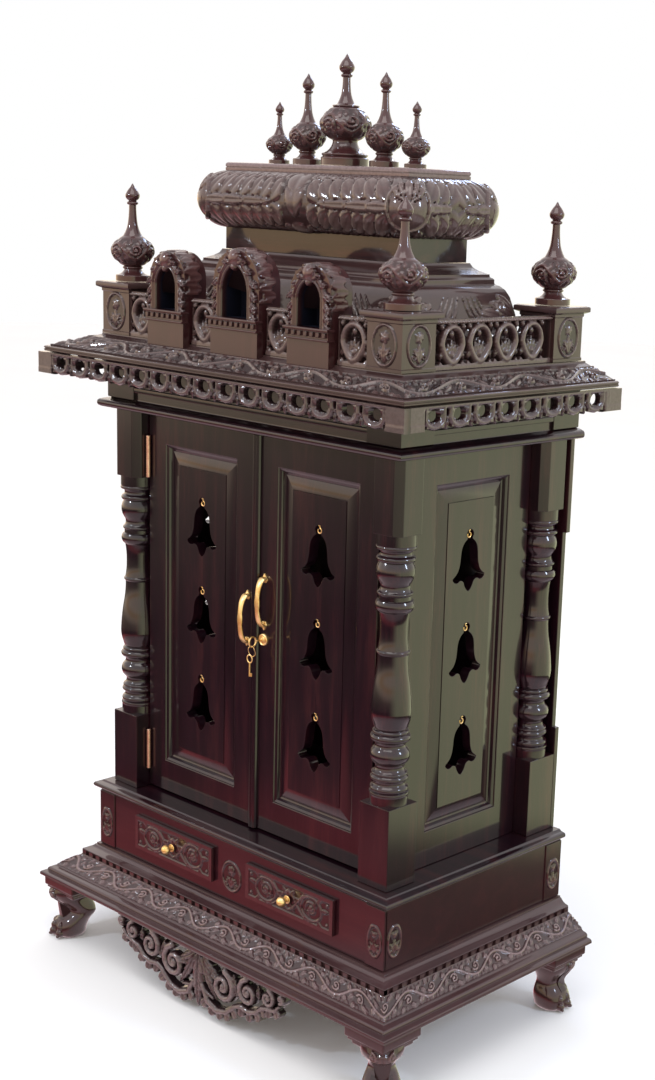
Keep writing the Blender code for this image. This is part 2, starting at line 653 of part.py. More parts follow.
def gallery(name, low, high, centres, x=0.0, y=0.0, turn=0.0):
    """A rail, a row of oval rings and a foot strip, cut from one board."""
    foot_z, rail_z, top_z = DECK_Z + GAP, 1.2105, CAP_Z - 0.0025
    strip = foot_z + 0.007
    middle, half_height = (strip + rail_z) / 2, (rail_z - strip) / 2
    hole_half, hole_high = RING_HALF_WIDTH - RING_RIM, half_height - RING_RIM
    holes = [oval(centre, middle, hole_half, hole_high, 8, math.pi / 8) for centre in centres]
    margin, reach, drop = 0.003, 0.012, 0.014  # the gaps between the rings, at the rail and the strip
    tips = [low + margin] + [(a + b) / 2 for a, b in zip(centres, centres[1:])] + [high - margin]
    for k, tip in enumerate(tips):
        left = tip - reach if k > 0 else tip
        right = tip + reach if k < len(tips) - 1 else tip
        for far, near in ((rail_z, rail_z - drop), (strip, strip + drop)):
            holes.append([(left, far), (right, far), (tip, near)])
    edge = [(low, foot_z), (high, foot_z), (high, top_z), (low, top_z)]
    board = flat_curve(name, [edge] + holes, GALLERY_THICK, CARVED)
    upright(board, x=x, y=y, turn=turn)


def parapet():
    for end, y in (("front", PEDESTAL_FRONT), ("back", PEDESTAL_BACK)):
        for word, side in (("left", -1), ("right", 1)):
            pedestal(f"pedestal_{end}_{word}", side * PEDESTAL_X, y)
            finial(f"finial_{end}_{word}", side * PEDESTAL_X, y, PEDESTAL_TOP_Z)
    niche_x, niche_half, middle_half = 0.174, 0.047, 0.057
    side_top, middle_top = 1.294, 1.307
    niche("niche_left", -niche_x, niche_half, side_top)
    niche("niche_middle", 0.0, middle_half, middle_top)
    niche("niche_right", niche_x, niche_half, side_top)
    beside = NICHE_SILL_OUT + GAP
    inner = (middle_half + beside, niche_x - niche_half - beside)
    outer = (niche_x + niche_half + beside, PEDESTAL_X - PEDESTAL_HALF - GAP)
    front = PEDESTAL_FRONT - PEDESTAL_HALF + GALLERY_THICK / 2
    runs = [(-outer[1], -outer[0]), (-inner[1], -inner[0]), inner, outer]
    for k, (low, high) in enumerate(runs):
        gallery(f"gallery_front_{k + 1}", low, high, [(low + high) / 2], y=front)
    low = PEDESTAL_FRONT + PEDESTAL_HALF + GAP
    high = PEDESTAL_BACK - PEDESTAL_HALF - GAP
    rings = 4
    margin = 0.015
    pitch = (high - low - 2 * margin) / rings
    centres = [low + margin + pitch * (k + 0.5) for k in range(rings)]
    reach = PEDESTAL_X + PEDESTAL_HALF - 0.004 - GALLERY_THICK / 2
    gallery("gallery_left", low, high, centres, x=-reach, turn=math.pi / 2)
    gallery("gallery_right", low, high, centres, x=reach, turn=math.pi / 2)


# ---- dome -----------------------------------------------------------------------
def dome():
    def plan(out, z):
        half_x, half_y = DOME_X + out, DOME_Y + out
        return [(-half_x, DOME_MID - half_y, z), (half_x, DOME_MID - half_y, z),
                (half_x, DOME_MID + half_y, z), (-half_x, DOME_MID + half_y, z)]

    base = [(0.066, DECK_Z + GAP), (0.0645, 1.180), (0.0605, 1.215), (0.053, 1.245), (0.041, 1.262),
            (0.034, 1.266), (0.034, 1.272), (0.028, 1.279), (0.004, LEDGE_DOME_Z - GAP)]
    loft("dome_base", [plan(out, z) for out, z in base], CARVED)
    loft("dome_neck", [plan(0.0, LEDGE_DOME_Z), plan(0.0, CUSHION_Z - GAP)], ROSEWOOD)
    levels = 5
    rows = []
    for i in range(levels + 1):
        t = math.pi * i / levels
        z = (CUSHION_Z + SLAB_Z) / 2 - (SLAB_Z - CUSHION_Z) / 2 * math.cos(t)
        out = CUSHION_BULGE * max(0.0, math.sin(t)) ** 0.9
        rows.append(rounded_rectangle(DOME_X + out, DOME_Y + out, CUSHION_CORNER + 0.42 * out, z))
    loft("dome_cushion", rows, CARVED)
    slab = [(0.0015, SLAB_Z + GAP), (0.0015, SLAB_TOP_Z - 0.005), (-0.0035, SLAB_TOP_Z)]
    loft("dome_slab", [plan(out, z) for out, z in slab], ROSEWOOD)
    row = ((1, -0.1630, 0.62, 0.627), (2, -0.0920, 0.84, 0.905), (4, 0.0920, 0.84, 0.905),
           (5, 0.1630, 0.62, 0.627))  # number, place, and size beside a corner finial's
    for number, x, wide, tall in row:
        finial(f"finial_top_{number}", x, DOME_MID, SLAB_TOP_Z, wide, tall)
    finial("finial_top_3", 0.0, DOME_MID, SLAB_TOP_Z, profile=TOP_PROFILE)


# ---- the whole shrine -------------------------------------------------------------
def build():
    for word, side in (("left", -1), ("right", 1)):
        foot(f"foot_front_{word}", side, -1, FOOT_FRONT, 1.0)
        foot(f"foot_back_{word}", side, 1, FOOT_BACK, 0.3)
    plinth()
    apron()
    drawer_case()
    for word, side in (("left", -1), ("right", 1)):
        drawer(f"drawer_{word}", side * DRAWER_X)
        knob(f"knob_{word}", side * DRAWER_X)
    ledge_board()
    half = POST / 2
    for word, side in (("left", -1), ("right", 1)):
        x = side * (BODY_HALF - half)
        post(f"post_front_{word}", x, FRONT + half)
        post(f"post_back_{word}", x, BACK - BACK_BOARD - GAP - half)
        side_panel(f"side_panel_{word}", side)
        for level, height in HINGE_HEIGHTS:
            hinge(f"hinge_{word}_{level}", side, height)
    back_board()
    doors()
    for word, x, height in HANDLES:
        handle(f"handle_{word}", x, height)
    lock()
    frieze()
    roof_board()
    valances()
    parapet()
    dome()


build()
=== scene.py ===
import math

import bmesh
import bpy
import numpy as np
from mathutils import Matrix, Vector


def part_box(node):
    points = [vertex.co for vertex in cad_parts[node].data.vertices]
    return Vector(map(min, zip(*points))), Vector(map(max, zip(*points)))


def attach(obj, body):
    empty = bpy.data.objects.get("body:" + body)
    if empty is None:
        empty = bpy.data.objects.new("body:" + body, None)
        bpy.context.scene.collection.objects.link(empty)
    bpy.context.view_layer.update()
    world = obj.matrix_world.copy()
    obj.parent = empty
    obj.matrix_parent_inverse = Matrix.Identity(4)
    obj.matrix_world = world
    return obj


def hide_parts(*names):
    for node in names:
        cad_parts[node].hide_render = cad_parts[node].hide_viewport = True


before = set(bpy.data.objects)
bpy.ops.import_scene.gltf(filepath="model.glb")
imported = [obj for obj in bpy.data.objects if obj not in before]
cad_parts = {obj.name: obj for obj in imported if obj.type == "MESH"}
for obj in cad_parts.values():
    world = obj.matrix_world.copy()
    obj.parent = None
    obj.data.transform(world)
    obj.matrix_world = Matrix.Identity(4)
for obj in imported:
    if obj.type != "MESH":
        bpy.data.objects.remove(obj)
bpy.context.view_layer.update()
print("frame loaded:", len(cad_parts), "nodes")

up = Vector((0, 0, 1))
hands = (("left", -1), ("right", 1))
body = {"half": .355, "front": -.164, "back": .264, "backGrows": 0}  # the corner posts' outer faces
levels = {"plinth": .118, "case": .186, "floor": .311, "frieze": 1.012, "pedestalTop": 1.2335,
          "cushion": 1.334, "slab": 1.428, "slabTop": 1.443}


# materials: a small class for shader sums, and the finishes

class Wire:
    # a socket's value inside one node tree, so that shader sums read like sums
    def __init__(self, tree, socket):
        self.tree = tree
        self.socket = socket

    def maths(self, operation, first, second):
        made = self.tree.nodes.new("ShaderNodeMath")
        made.operation = operation
        plug(self.tree, made.inputs[0], first)
        plug(self.tree, made.inputs[1], second)
        return Wire(self.tree, made.outputs[0])

    def __add__(self, other):
        return self.maths("ADD", self, other)

    def __radd__(self, other):
        return self.maths("ADD", other, self)

    def __sub__(self, other):
        return self.maths("SUBTRACT", self, other)

    def __rsub__(self, other):
        return self.maths("SUBTRACT", other, self)

    def __mul__(self, other):
        return self.maths("MULTIPLY", self, other)

    def __rmul__(self, other):
        return self.maths("MULTIPLY", other, self)


def plug(tree, socket, value):
    if isinstance(value, Wire):
        tree.links.new(value.socket, socket)
    else:
        socket.default_value = value


class Nodes:
    # a node tree, of a material or of the world
    def __init__(self, tree):
        self.tree = tree

    def node(self, kind, settings=None, sockets=None, output=0):
        made = self.tree.nodes.new(kind)
        for key, value in (settings or {}).items():
            if key == "stops":
                ramp = made.color_ramp
                while len(ramp.elements) < len(value):
                    ramp.elements.new(1.0)
                for element, (position, colour) in zip(ramp.elements, value):
                    element.position = position
                    element.color = (*colour, 1)
            else:
                setattr(made, key, value)
        for key, value in (sockets or {}).items():
            plug(self.tree, made.inputs[key], value)
        return Wire(self.tree, made.outputs[output])

    def ramp(self, value, stops):
        return self.node("ShaderNodeValToRGB", {"stops": stops}, {"Fac": value})

    def span(self, value, low, high, toLow=0.0, toHigh=1.0):
        limits = {"From Min": low, "From Max": high, "To Min": toLow, "To Max": toHigh}
        return self.node("ShaderNodeMapRange", {"clamp": True}, {"Value": value, **limits})

    def mix(self, factor, first, second):
        return self.node("ShaderNodeMix", {"data_type": "RGBA"}, {0: factor, 6: first, 7: second}, output=2)


class Finish(Nodes):
    # one material on a piece
    def __init__(self, name):
        self.material = bpy.data.materials.new(name)
        self.material.use_nodes = True
        super().__init__(self.material.node_tree)
        self.shader = self.tree.nodes["Principled BSDF"]
        self.places = self.node("ShaderNodeTexCoord", output="Object")

    def stretched(self, scale):
        return self.node("ShaderNodeMapping", sockets={"Vector": self.places, "Scale": scale})

    def noise(self, vector, scale, detail=4.0, roughness=.55, distortion=0.0):
        return self.node("ShaderNodeTexNoise", sockets={"Vector": vector, "Scale": scale, "Detail": detail,
                                                        "Roughness": roughness, "Distortion": distortion})

    def bump(self, height, strength, distance):
        return self.node("ShaderNodeBump",
                         sockets={"Height": height, "Strength": strength, "Distance": distance})

    def set(self, **values):
        for key, value in values.items():
            plug(self.tree, self.shader.inputs[key.replace("_", " ")], value)


woodColours = {
    "dark": (.005, .0013, .0032),
    "body": (.01, .0024, .0056),
    "red": (.032, .007, .009),
    "coat": 1.0,
    # the painted shade inside a niche: nearly black navy, with a dull coat
    "inside": (.0035, .0045, .012),
    "coatInside": .12,
}
# the scale of the wood's figure, its grain and its clouding: the lower the number, the larger
woodFigure = {"across": 14.0, "along": 1.1, "streaks": 2.2, "grain": 3.0, "finer": 9, "cloud": 5.0,
              "speck": 210.0}
# how carved wood is toned: the bloom all over it, the lighter high points, partly from wear and partly
# painted highlight, the painted shade in its recesses, how much the high points lighten, and how strongly the
# recesses are shaded
carvedTones = {
    "dusky": {"haze": (.106, .058, .053), "dustAndHighlight": (.21, .155, .145),
              "recessShade": (.007, .0034, .0042), "wearAndHighlight": .44, "sunk": .7},
    "inky": {"haze": (.05, .027, .028), "dustAndHighlight": (.26, .195, .195),
             "recessShade": (.0035, .002, .0028), "wearAndHighlight": .6, "sunk": .95},
    "smoky": {"haze": (.046, .026, .028), "dustAndHighlight": (.135, .098, .098),
              "recessShade": (.0035, .002, .0028), "wearAndHighlight": .4, "sunk": .95},
    "red": {"haze": (.088, .028, .027), "dustAndHighlight": (.155, .076, .072),
            "recessShade": (.01, .003, .004), "wearAndHighlight": .44, "sunk": .68},
    "burgundy": {"haze": (.042, .006, .009), "dustAndHighlight": (.19, .078, .076),
                 "recessShade": (.012, .0028, .004), "wearAndHighlight": .5, "sunk": .65},
    # painted light: a lighter copy of the carved finish, used on the plinth and the slab in place of the
    # light they lack
    "paintedLight": {"haze": (.142, .07, .072), "dustAndHighlight": (.35, .262, .268),
             "recessShade": (.014, .0055, .0065), "wearAndHighlight": .66, "sunk": .62},
}


def rosewood(name, grain, carved=None):
    # grain is the axis that the figure runs along: 0, 1 or 2
    finish = Finish(name)
    across = [woodFigure["across"]] * 3
    across[grain] = woodFigure["along"]
    along = finish.stretched(tuple(across))
    figure = finish.noise(along, woodFigure["streaks"], detail=6.0, roughness=.62, distortion=.5)
    finer = finish.stretched(tuple(scale * woodFigure["finer"] for scale in across))
    fine = finish.noise(finer, woodFigure["grain"], detail=3.0)
    cloud = finish.noise(finish.places, woodFigure["cloud"], detail=2.0)
    stops = [(.3, woodColours["dark"]), (.5, woodColours["body"]), (.72, woodColours["red"])]
    colour = finish.ramp(figure + (fine - .5) * .35, stops)
    colour = finish.mix(finish.span(cloud, .35, .7, 0.0, .35), colour, (*woodColours["dark"], 1))
    rough = finish.span(cloud, .3, .7, .28, .42)
    height = fine
    coat = woodColours["coat"]
    if carved:
        tone = carvedTones[carved]
        rise = finish.node("ShaderNodeAttribute", {"attribute_name": "rise"}, output="Fac")
        low = finish.span(rise, 0.0, .5, 1.0, 0.0)
        wearAndHighlight = finish.span(rise, .45, 1.0, 0.0, tone["wearAndHighlight"])
        speck = finish.noise(finish.places, woodFigure["speck"], detail=3.0)
        colour = finish.mix(finish.span(cloud, .3, .7, .22, .42), colour, (*tone["haze"], 1))
        # the high points are lightened, partly by wear and dusting and partly by painted highlight, broken up
        # by specks
        colour = finish.mix(wearAndHighlight * finish.span(speck, .35, .65, .55, 1.0), colour, (*tone["dustAndHighlight"], 1))
        # painted shade: the low places are darkened towards the recess colour, weighted by sunk
        colour = finish.mix(low * tone["sunk"], colour, (*tone["recessShade"], 1))
        # the inside of a niche has a rise below 0: painted shade, nearly black, and dull
        inside = finish.span(rise, -1.0, 0.0, 1.0, 0.0)
        colour = finish.mix(inside, colour, (*woodColours["inside"], 1))
        coat = finish.span(inside, 0.0, 1.0, coat, woodColours["coatInside"])
        rough = rough + low * .3
        height = fine + speck * .9
    finish.set(Base_Color=colour, Roughness=rough, Specular_IOR_Level=.15, Coat_Weight=coat,
               Coat_Roughness=.075, Normal=finish.bump(height, .1, .0004))
    return finish.material


def brass(name, dark, light):
    finish = Finish(name)
    cloud = finish.noise(finish.places, 90.0, detail=3.0)
    colour = finish.ramp(cloud, [(.35, dark), (.65, light)])
    finish.set(Base_Color=colour, Metallic=1.0, Roughness=finish.span(cloud, .3, .7, .44, .32),
               Normal=finish.bump(finish.noise(finish.places, 700.0), .05, .0001))
    return finish.material


def floorPaint():
    finish = Finish("paleFloor")
    cloud = finish.noise(finish.places, 1.5, detail=3.0)
    finish.set(Base_Color=finish.ramp(cloud, [(.3, (.815, .845, .86)), (.7, (.83, .86, .875))]),
               Roughness=.8)
    return finish.material


wood = {
    "x": rosewood("rosewoodAcross", 0),
    "z": rosewood("rosewoodUpright", 2),
    "carvedX": rosewood("rosewoodCarvedAcross", 0, "dusky"),
    "carvedY": rosewood("rosewoodCarvedDeep", 1, "dusky"),
    "carvedZ": rosewood("rosewoodCarvedUpright", 2, "dusky"),
    "redZ": rosewood("rosewoodRedUpright", 2, "red"),
    "inkyX": rosewood("rosewoodInkyAcross", 0, "inky"),
    "smokyX": rosewood("rosewoodSmokyAcross", 0, "smoky"),
    "smokyY": rosewood("rosewoodSmokyDeep", 1, "smoky"),
    "burgundyX": rosewood("rosewoodBurgundyAcross", 0, "burgundy"),
    "paintedLightX": rosewood("rosewoodPaintedLightAcross", 0, "paintedLight"),
}
metal = brass("brassPolished", (.78, .5, .18), (.95, .72, .36))
hingeMetal = brass("brassCoppery", (.62, .36, .26), (.8, .54, .42))
print("materials made")


# camera, light and floor

camera = {"place": (2.0771, -1.9744, 1.4111), "yaw": 41.08, "pitch": 13.07, "roll": 2.44, "lens": 55.79,
          "sensor": 36.0, "shift": (-.1295, .0369)}
studio = {
    "backdrop": (1.0, 1.0, 1.0),
    "strength": 1.9,
    "floor": {"radius": 14.0, "level": -.0005},
    # the side of the room lies along this direction, and its colours take over between these two shares
    "sideward": (.7, .66, 0),
    "turnsAt": (-.2, .45),
    # the room's colour by height, from straight down at 0 to straight up at 1
    "front": [(.22, (.52, .38, .4)), (.275, (.42, .25, .27)), (.29, (.46, .08, .09)),
              (.315, (.36, .06, .07)), (.332, (.02, .008, .012)), (.375, (.01, .007, .011)),
              (.405, (.09, .08, .065)), (.425, (.18, .16, .115)), (.443, (.55, .45, .34)),
              (.46, (.84, .64, .46)), (.482, (.84, .53, .25)), (.5, (.97, .77, .58)),
              (.56, (.84, .72, .62)), (.75, (.62, .58, .58))],
    "side": [(.22, (.46, .4, .42)), (.27, (.26, .2, .22)), (.285, (.012, .005, .007)),
             (.31, (.012, .005, .007)), (.319, (.7, .74, .44)), (.48, (.76, .77, .52)),
             (.56, (.74, .7, .6)), (.75, (.62, .6, .6))],
}
softboxes = [
    # name, place, aim, size across, size up, watts, colour
    ("boxAbove", (.6, -1.2, 3.6), (0.0, .1, .9), 2.4, 1.6, 34, (1.0, .96, .93)),
    ("boxWindow", (3.0, .9, 2.2), (0.0, 0.0, 1.0), .35, .9, 34, (.66, .78, 1.0)),
    ("boxSpark", (-1.3, -2.6, 2.4), (0.0, 0.0, .8), .2, .2, 26, (.8, .88, 1.0)),
    ("boxBehind", (-.9, 2.1, 2.7), (.2, 0.0, 1.2), .4, .7, 11, (.5, .64, 1.0)),
]


def newObject(name, data):
    made = bpy.data.objects.new(name, data)
    bpy.context.scene.collection.objects.link(made)
    return made


def makeCamera():
    data = bpy.data.cameras.new("camera")
    data.lens = camera["lens"]
    data.sensor_width = camera["sensor"]
    data.shift_x, data.shift_y = camera["shift"]
    lookFrom = newObject("camera", data)
    turn = (Matrix.Rotation(math.radians(camera["yaw"]), 4, "Z")
            @ Matrix.Rotation(math.radians(90 - camera["pitch"]), 4, "X")
            @ Matrix.Rotation(math.radians(camera["roll"]), 4, "Z"))
    lookFrom.matrix_world = Matrix.Translation(camera["place"]) @ turn
    bpy.context.scene.camera = lookFrom


def makeLights():
    for name, place, aim, across, tall, watts, colour in softboxes:
        data = bpy.data.lights.new(name, "AREA")
        data.shape = "RECTANGLE"
        data.size, data.size_y = across, tall
        data.energy = watts
        data.color = colour
        lamp = newObject(name, data)
        lamp.location = place
        lamp.rotation_euler = (Vector(aim) - Vector(place)).to_track_quat("-Z", "Y").to_euler()
        lamp.visible_camera = False


def makeRoom():
    # the room that the gloss reflects; the camera itself sees a plain backdrop
    world = bpy.data.worlds.new("studio")
    world.use_nodes = True
    bpy.context.scene.world = world
    room = Nodes(world.node_tree)
    room.tree.nodes.remove(room.tree.nodes["Background"])
    places = room.node("ShaderNodeTexCoord", output="Generated")

    def towards(direction):
        return room.node("ShaderNodeVectorMath", {"operation": "DOT_PRODUCT"},
                         {0: places, 1: Vector(direction).normalized()}, output="Value")

    height = room.span(towards(up), -1, 1)
    around = room.span(towards(studio["sideward"]), *studio["turnsAt"])
    colour = room.mix(around, room.ramp(height, studio["front"]), room.ramp(height, studio["side"]))
    lit = room.node("ShaderNodeBackground", sockets={"Color": colour, "Strength": studio["strength"]})
    seen = room.node("ShaderNodeBackground", sockets={"Color": (*studio["backdrop"], 1)})
    cameraRay = room.node("ShaderNodeLightPath", output="Is Camera Ray")
    chosen = room.node("ShaderNodeMixShader", sockets={0: cameraRay, 1: lit, 2: seen})
    plug(room.tree, room.tree.nodes["World Output"].inputs["Surface"], chosen)
    bpy.context.scene.view_settings.view_transform = "Standard"


def makeFloor():
    bm = bmesh.new()
    bmesh.ops.create_circle(bm, cap_ends=True, segments=64, radius=studio["floor"]["radius"])
    mesh = bpy.data.meshes.new("floor")
    bm.to_mesh(mesh)
    bm.free()
    mesh.materials.append(floorPaint())
    floor = newObject("floor", mesh)
    floor.location.z = studio["floor"]["level"]
    floor.visible_glossy = False


makeCamera()
makeLights()
makeRoom()
makeFloor()
print("camera, light and floor set")


# mesh helpers

def finishPiece(name, bm, material, rides="cabinet", replaces=None, smooth=35):
    bmesh.ops.remove_doubles(bm, verts=bm.verts, dist=.00002)
    bmesh.ops.recalc_face_normals(bm, faces=bm.faces)
    mesh = bpy.data.meshes.new(name)
    bm.to_mesh(mesh)
    bm.free()
    mesh.materials.append(material)
    mesh.shade_smooth()
    mesh.set_sharp_from_angle(angle=math.radians(smooth))
    piece = newObject(name, mesh)
    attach(piece, rides)
    if replaces:
        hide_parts(replaces)
    # the broad faces keep their own normals, and the small round edges take up the turn
    weighted = piece.modifiers.new("weighted", "WEIGHTED_NORMAL")
    weighted.keep_sharp = True


def join(bm, part, move=None):
    if move is not None:
        bmesh.ops.transform(part, matrix=move, verts=part.verts)
    mesh = bpy.data.meshes.new("part")
    part.to_mesh(mesh)
    part.free()
    bm.from_mesh(mesh)
    bpy.data.meshes.remove(mesh)


def paint(bm, rise=.45):
    # the attribute that the carved finish reads: 0 in a recess, 1 on a high point
    layer = bm.verts.layers.float.get("rise") or bm.verts.layers.float.new("rise")
    for vert in bm.verts:
        vert[layer] = rise


def bevel(bm, edges, offset, segments=2, clamp=False):
    bmesh.ops.bevel(bm, geom=edges, offset=offset, segments=segments, profile=.5, affect="EDGES",
                    material=-1, clamp_overlap=clamp)


def moveBy(bm, by):
    bmesh.ops.translate(bm, vec=by, verts=bm.verts)


def loopOf(bm, points):
    verts = [bm.verts.new(point) for point in points]
    return verts, [bm.edges.new(pair) for pair in zip(verts, verts[1:] + verts[:1])]


def freshVerts(grown):
    return [part for part in grown if isinstance(part, bmesh.types.BMVert)]


def drawOn(bm, loop, points):
    # extrude a loop of edges, and lay the new loop on points
    verts, edges = loop
    fresh = set(freshVerts(bmesh.ops.extrude_edge_only(bm, edges=edges)["geom"]))
    partner = {}
    for vert in fresh:
        for edge in vert.link_edges:
            other = edge.other_vert(vert)
            if other not in fresh:
                partner[other] = vert
    fresh = [partner[vert] for vert in verts]
    for vert, point in zip(fresh, points):
        vert.co = point
    return fresh, [bm.edges.get(pair) for pair in zip(fresh, fresh[1:] + fresh[:1])]


def loft(loops, closed=False):
    # a skin over loops of one count of points, its ends filled or, if closed, joined to each other
    bm = bmesh.new()
    first = last = loopOf(bm, loops[0])
    for points in loops[1:]:
        last = drawOn(bm, last, points)
    if closed:
        bmesh.ops.bridge_loops(bm, edges=first[1] + last[1])
    else:
        bmesh.ops.edgeloop_fill(bm, edges=first[1])
        bmesh.ops.edgeloop_fill(bm, edges=last[1])
    return bm


def arcs(points, fineness=5, fineZone=(0, 0), fineSteps=10):
    # a profile from points (radius, height, bulge) listed from the top down; a bulge swells outwards
    curve = []
    for (r0, z0, bulge), (r1, z1, _) in zip(points, points[1:] + [points[-1]]):
        start, end = complex(r0, z0), complex(r1, z1)
        curve.append((r0, z0))
        if abs(bulge) > .001 and start != end:
            sweep = np.exp(-4j * math.atan(bulge))
            centre = (end - start * sweep) / (1 - sweep)
            steps = fineSteps if fineZone[0] < (z0 + z1) / 2 < fineZone[1] else fineness
            for step in range(1, steps):
                turned = centre + (start - centre) * np.exp(-4j * math.atan(bulge) * step / steps)
                curve.append((turned.real, turned.imag))
    return curve


def spun(profile, sides=36):
    # a profile of (radius, height) turned about Z
    bm = bmesh.new()
    verts = [bm.verts.new((radius, 0, height)) for radius, height in profile]
    edges = [bm.edges.new(pair) for pair in zip(verts, verts[1:])]
    bmesh.ops.spin(bm, geom=verts + edges, cent=(0, 0, 0), axis=(0, 0, 1), dvec=(0, 0, 0), angle=math.tau,
                   steps=sides, use_merge=True, use_normal_flip=False, use_duplicate=False)
    bmesh.ops.remove_doubles(bm, verts=bm.verts, dist=.00001)
    return bm


def block(low, high, edge=.001, segments=2):
    bm = bmesh.new()
    made = bmesh.ops.create_cube(bm, size=1)["verts"]
    low, high = Vector(low), Vector(high)
    bmesh.ops.scale(bm, vec=high - low, verts=made)
    bmesh.ops.translate(bm, vec=(low + high) / 2, verts=made)
    if edge:
        bevel(bm, bm.edges[:], edge, segments)
    return bm


def addBlock(bm, low, high, edge=.001, segments=2):
    join(bm, block(low, high, edge, segments))


def sharpEdges(bm, angle):
    return [e for e in bm.edges if len(e.link_faces) == 2 and e.calc_face_angle(0) > math.radians(angle)]


def softened(node, edge=.001, corner=28):
    # a copy of a CAD node with its facets merged and its sharp edges rounded
    bm = bmesh.new()
    bm.from_mesh(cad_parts[node].data)
    bmesh.ops.remove_doubles(bm, verts=bm.verts, dist=.00005)
    bmesh.ops.dissolve_limit(bm, angle_limit=math.radians(1), verts=bm.verts, edges=bm.edges)
    bevel(bm, sharpEdges(bm, corner), edge, clamp=True)
    return bm


def tube(points, radius, sides=10, closed=False):
    # a round rod along points, made from a curve
    curve = bpy.data.curves.new("rod", "CURVE")
    curve.dimensions = "3D"
    curve.bevel_depth = radius
    curve.bevel_resolution = max(1, sides // 4)
    curve.use_fill_caps = True
    spline = curve.splines.new("POLY")
    spline.points.add(len(points) - 1)
    for point, place in zip(spline.points, points):
        point.co = (*place, 1)
    spline.use_cyclic_u = closed
    holder = newObject("rod", curve)
    mesh = bpy.data.meshes.new_from_object(holder.evaluated_get(bpy.context.evaluated_depsgraph_get()))
    bm = bmesh.new()
    bm.from_mesh(mesh)
    bpy.data.objects.remove(holder)
    bpy.data.curves.remove(curve)
    bpy.data.meshes.remove(mesh)
    return bm


def cutOut(bm, cutters):
    # take the cutters away from bm with a Boolean modifier, and return the result
    def held(mesh, name):
        data = bpy.data.meshes.new(name)
        mesh.to_mesh(data)
        mesh.free()
        return newObject(name, data)

    target = held(bm, "target")
    holders = [target]
    for k, cutter in enumerate(cutters):
        tool = held(cutter, f"cutter{k}")
        holders.append(tool)
        cut = target.modifiers.new(f"cut{k}", "BOOLEAN")
        cut.operation = "DIFFERENCE"
        cut.solver = "EXACT"
        cut.object = tool
    mesh = bpy.data.meshes.new_from_object(target.evaluated_get(bpy.context.evaluated_depsgraph_get()))
    result = bmesh.new()
    result.from_mesh(mesh)
    for holder in holders:
        data = holder.data
        bpy.data.objects.remove(holder)
        bpy.data.meshes.remove(data)
    bpy.data.meshes.remove(mesh)
    return result


# carving: heights over a flat grid, and the ways to lay the grid on the wood

def rounded(inside):
    return np.sqrt(np.clip(1 - (1 - np.clip(inside, 0, 1)) ** 2, 0, 1))


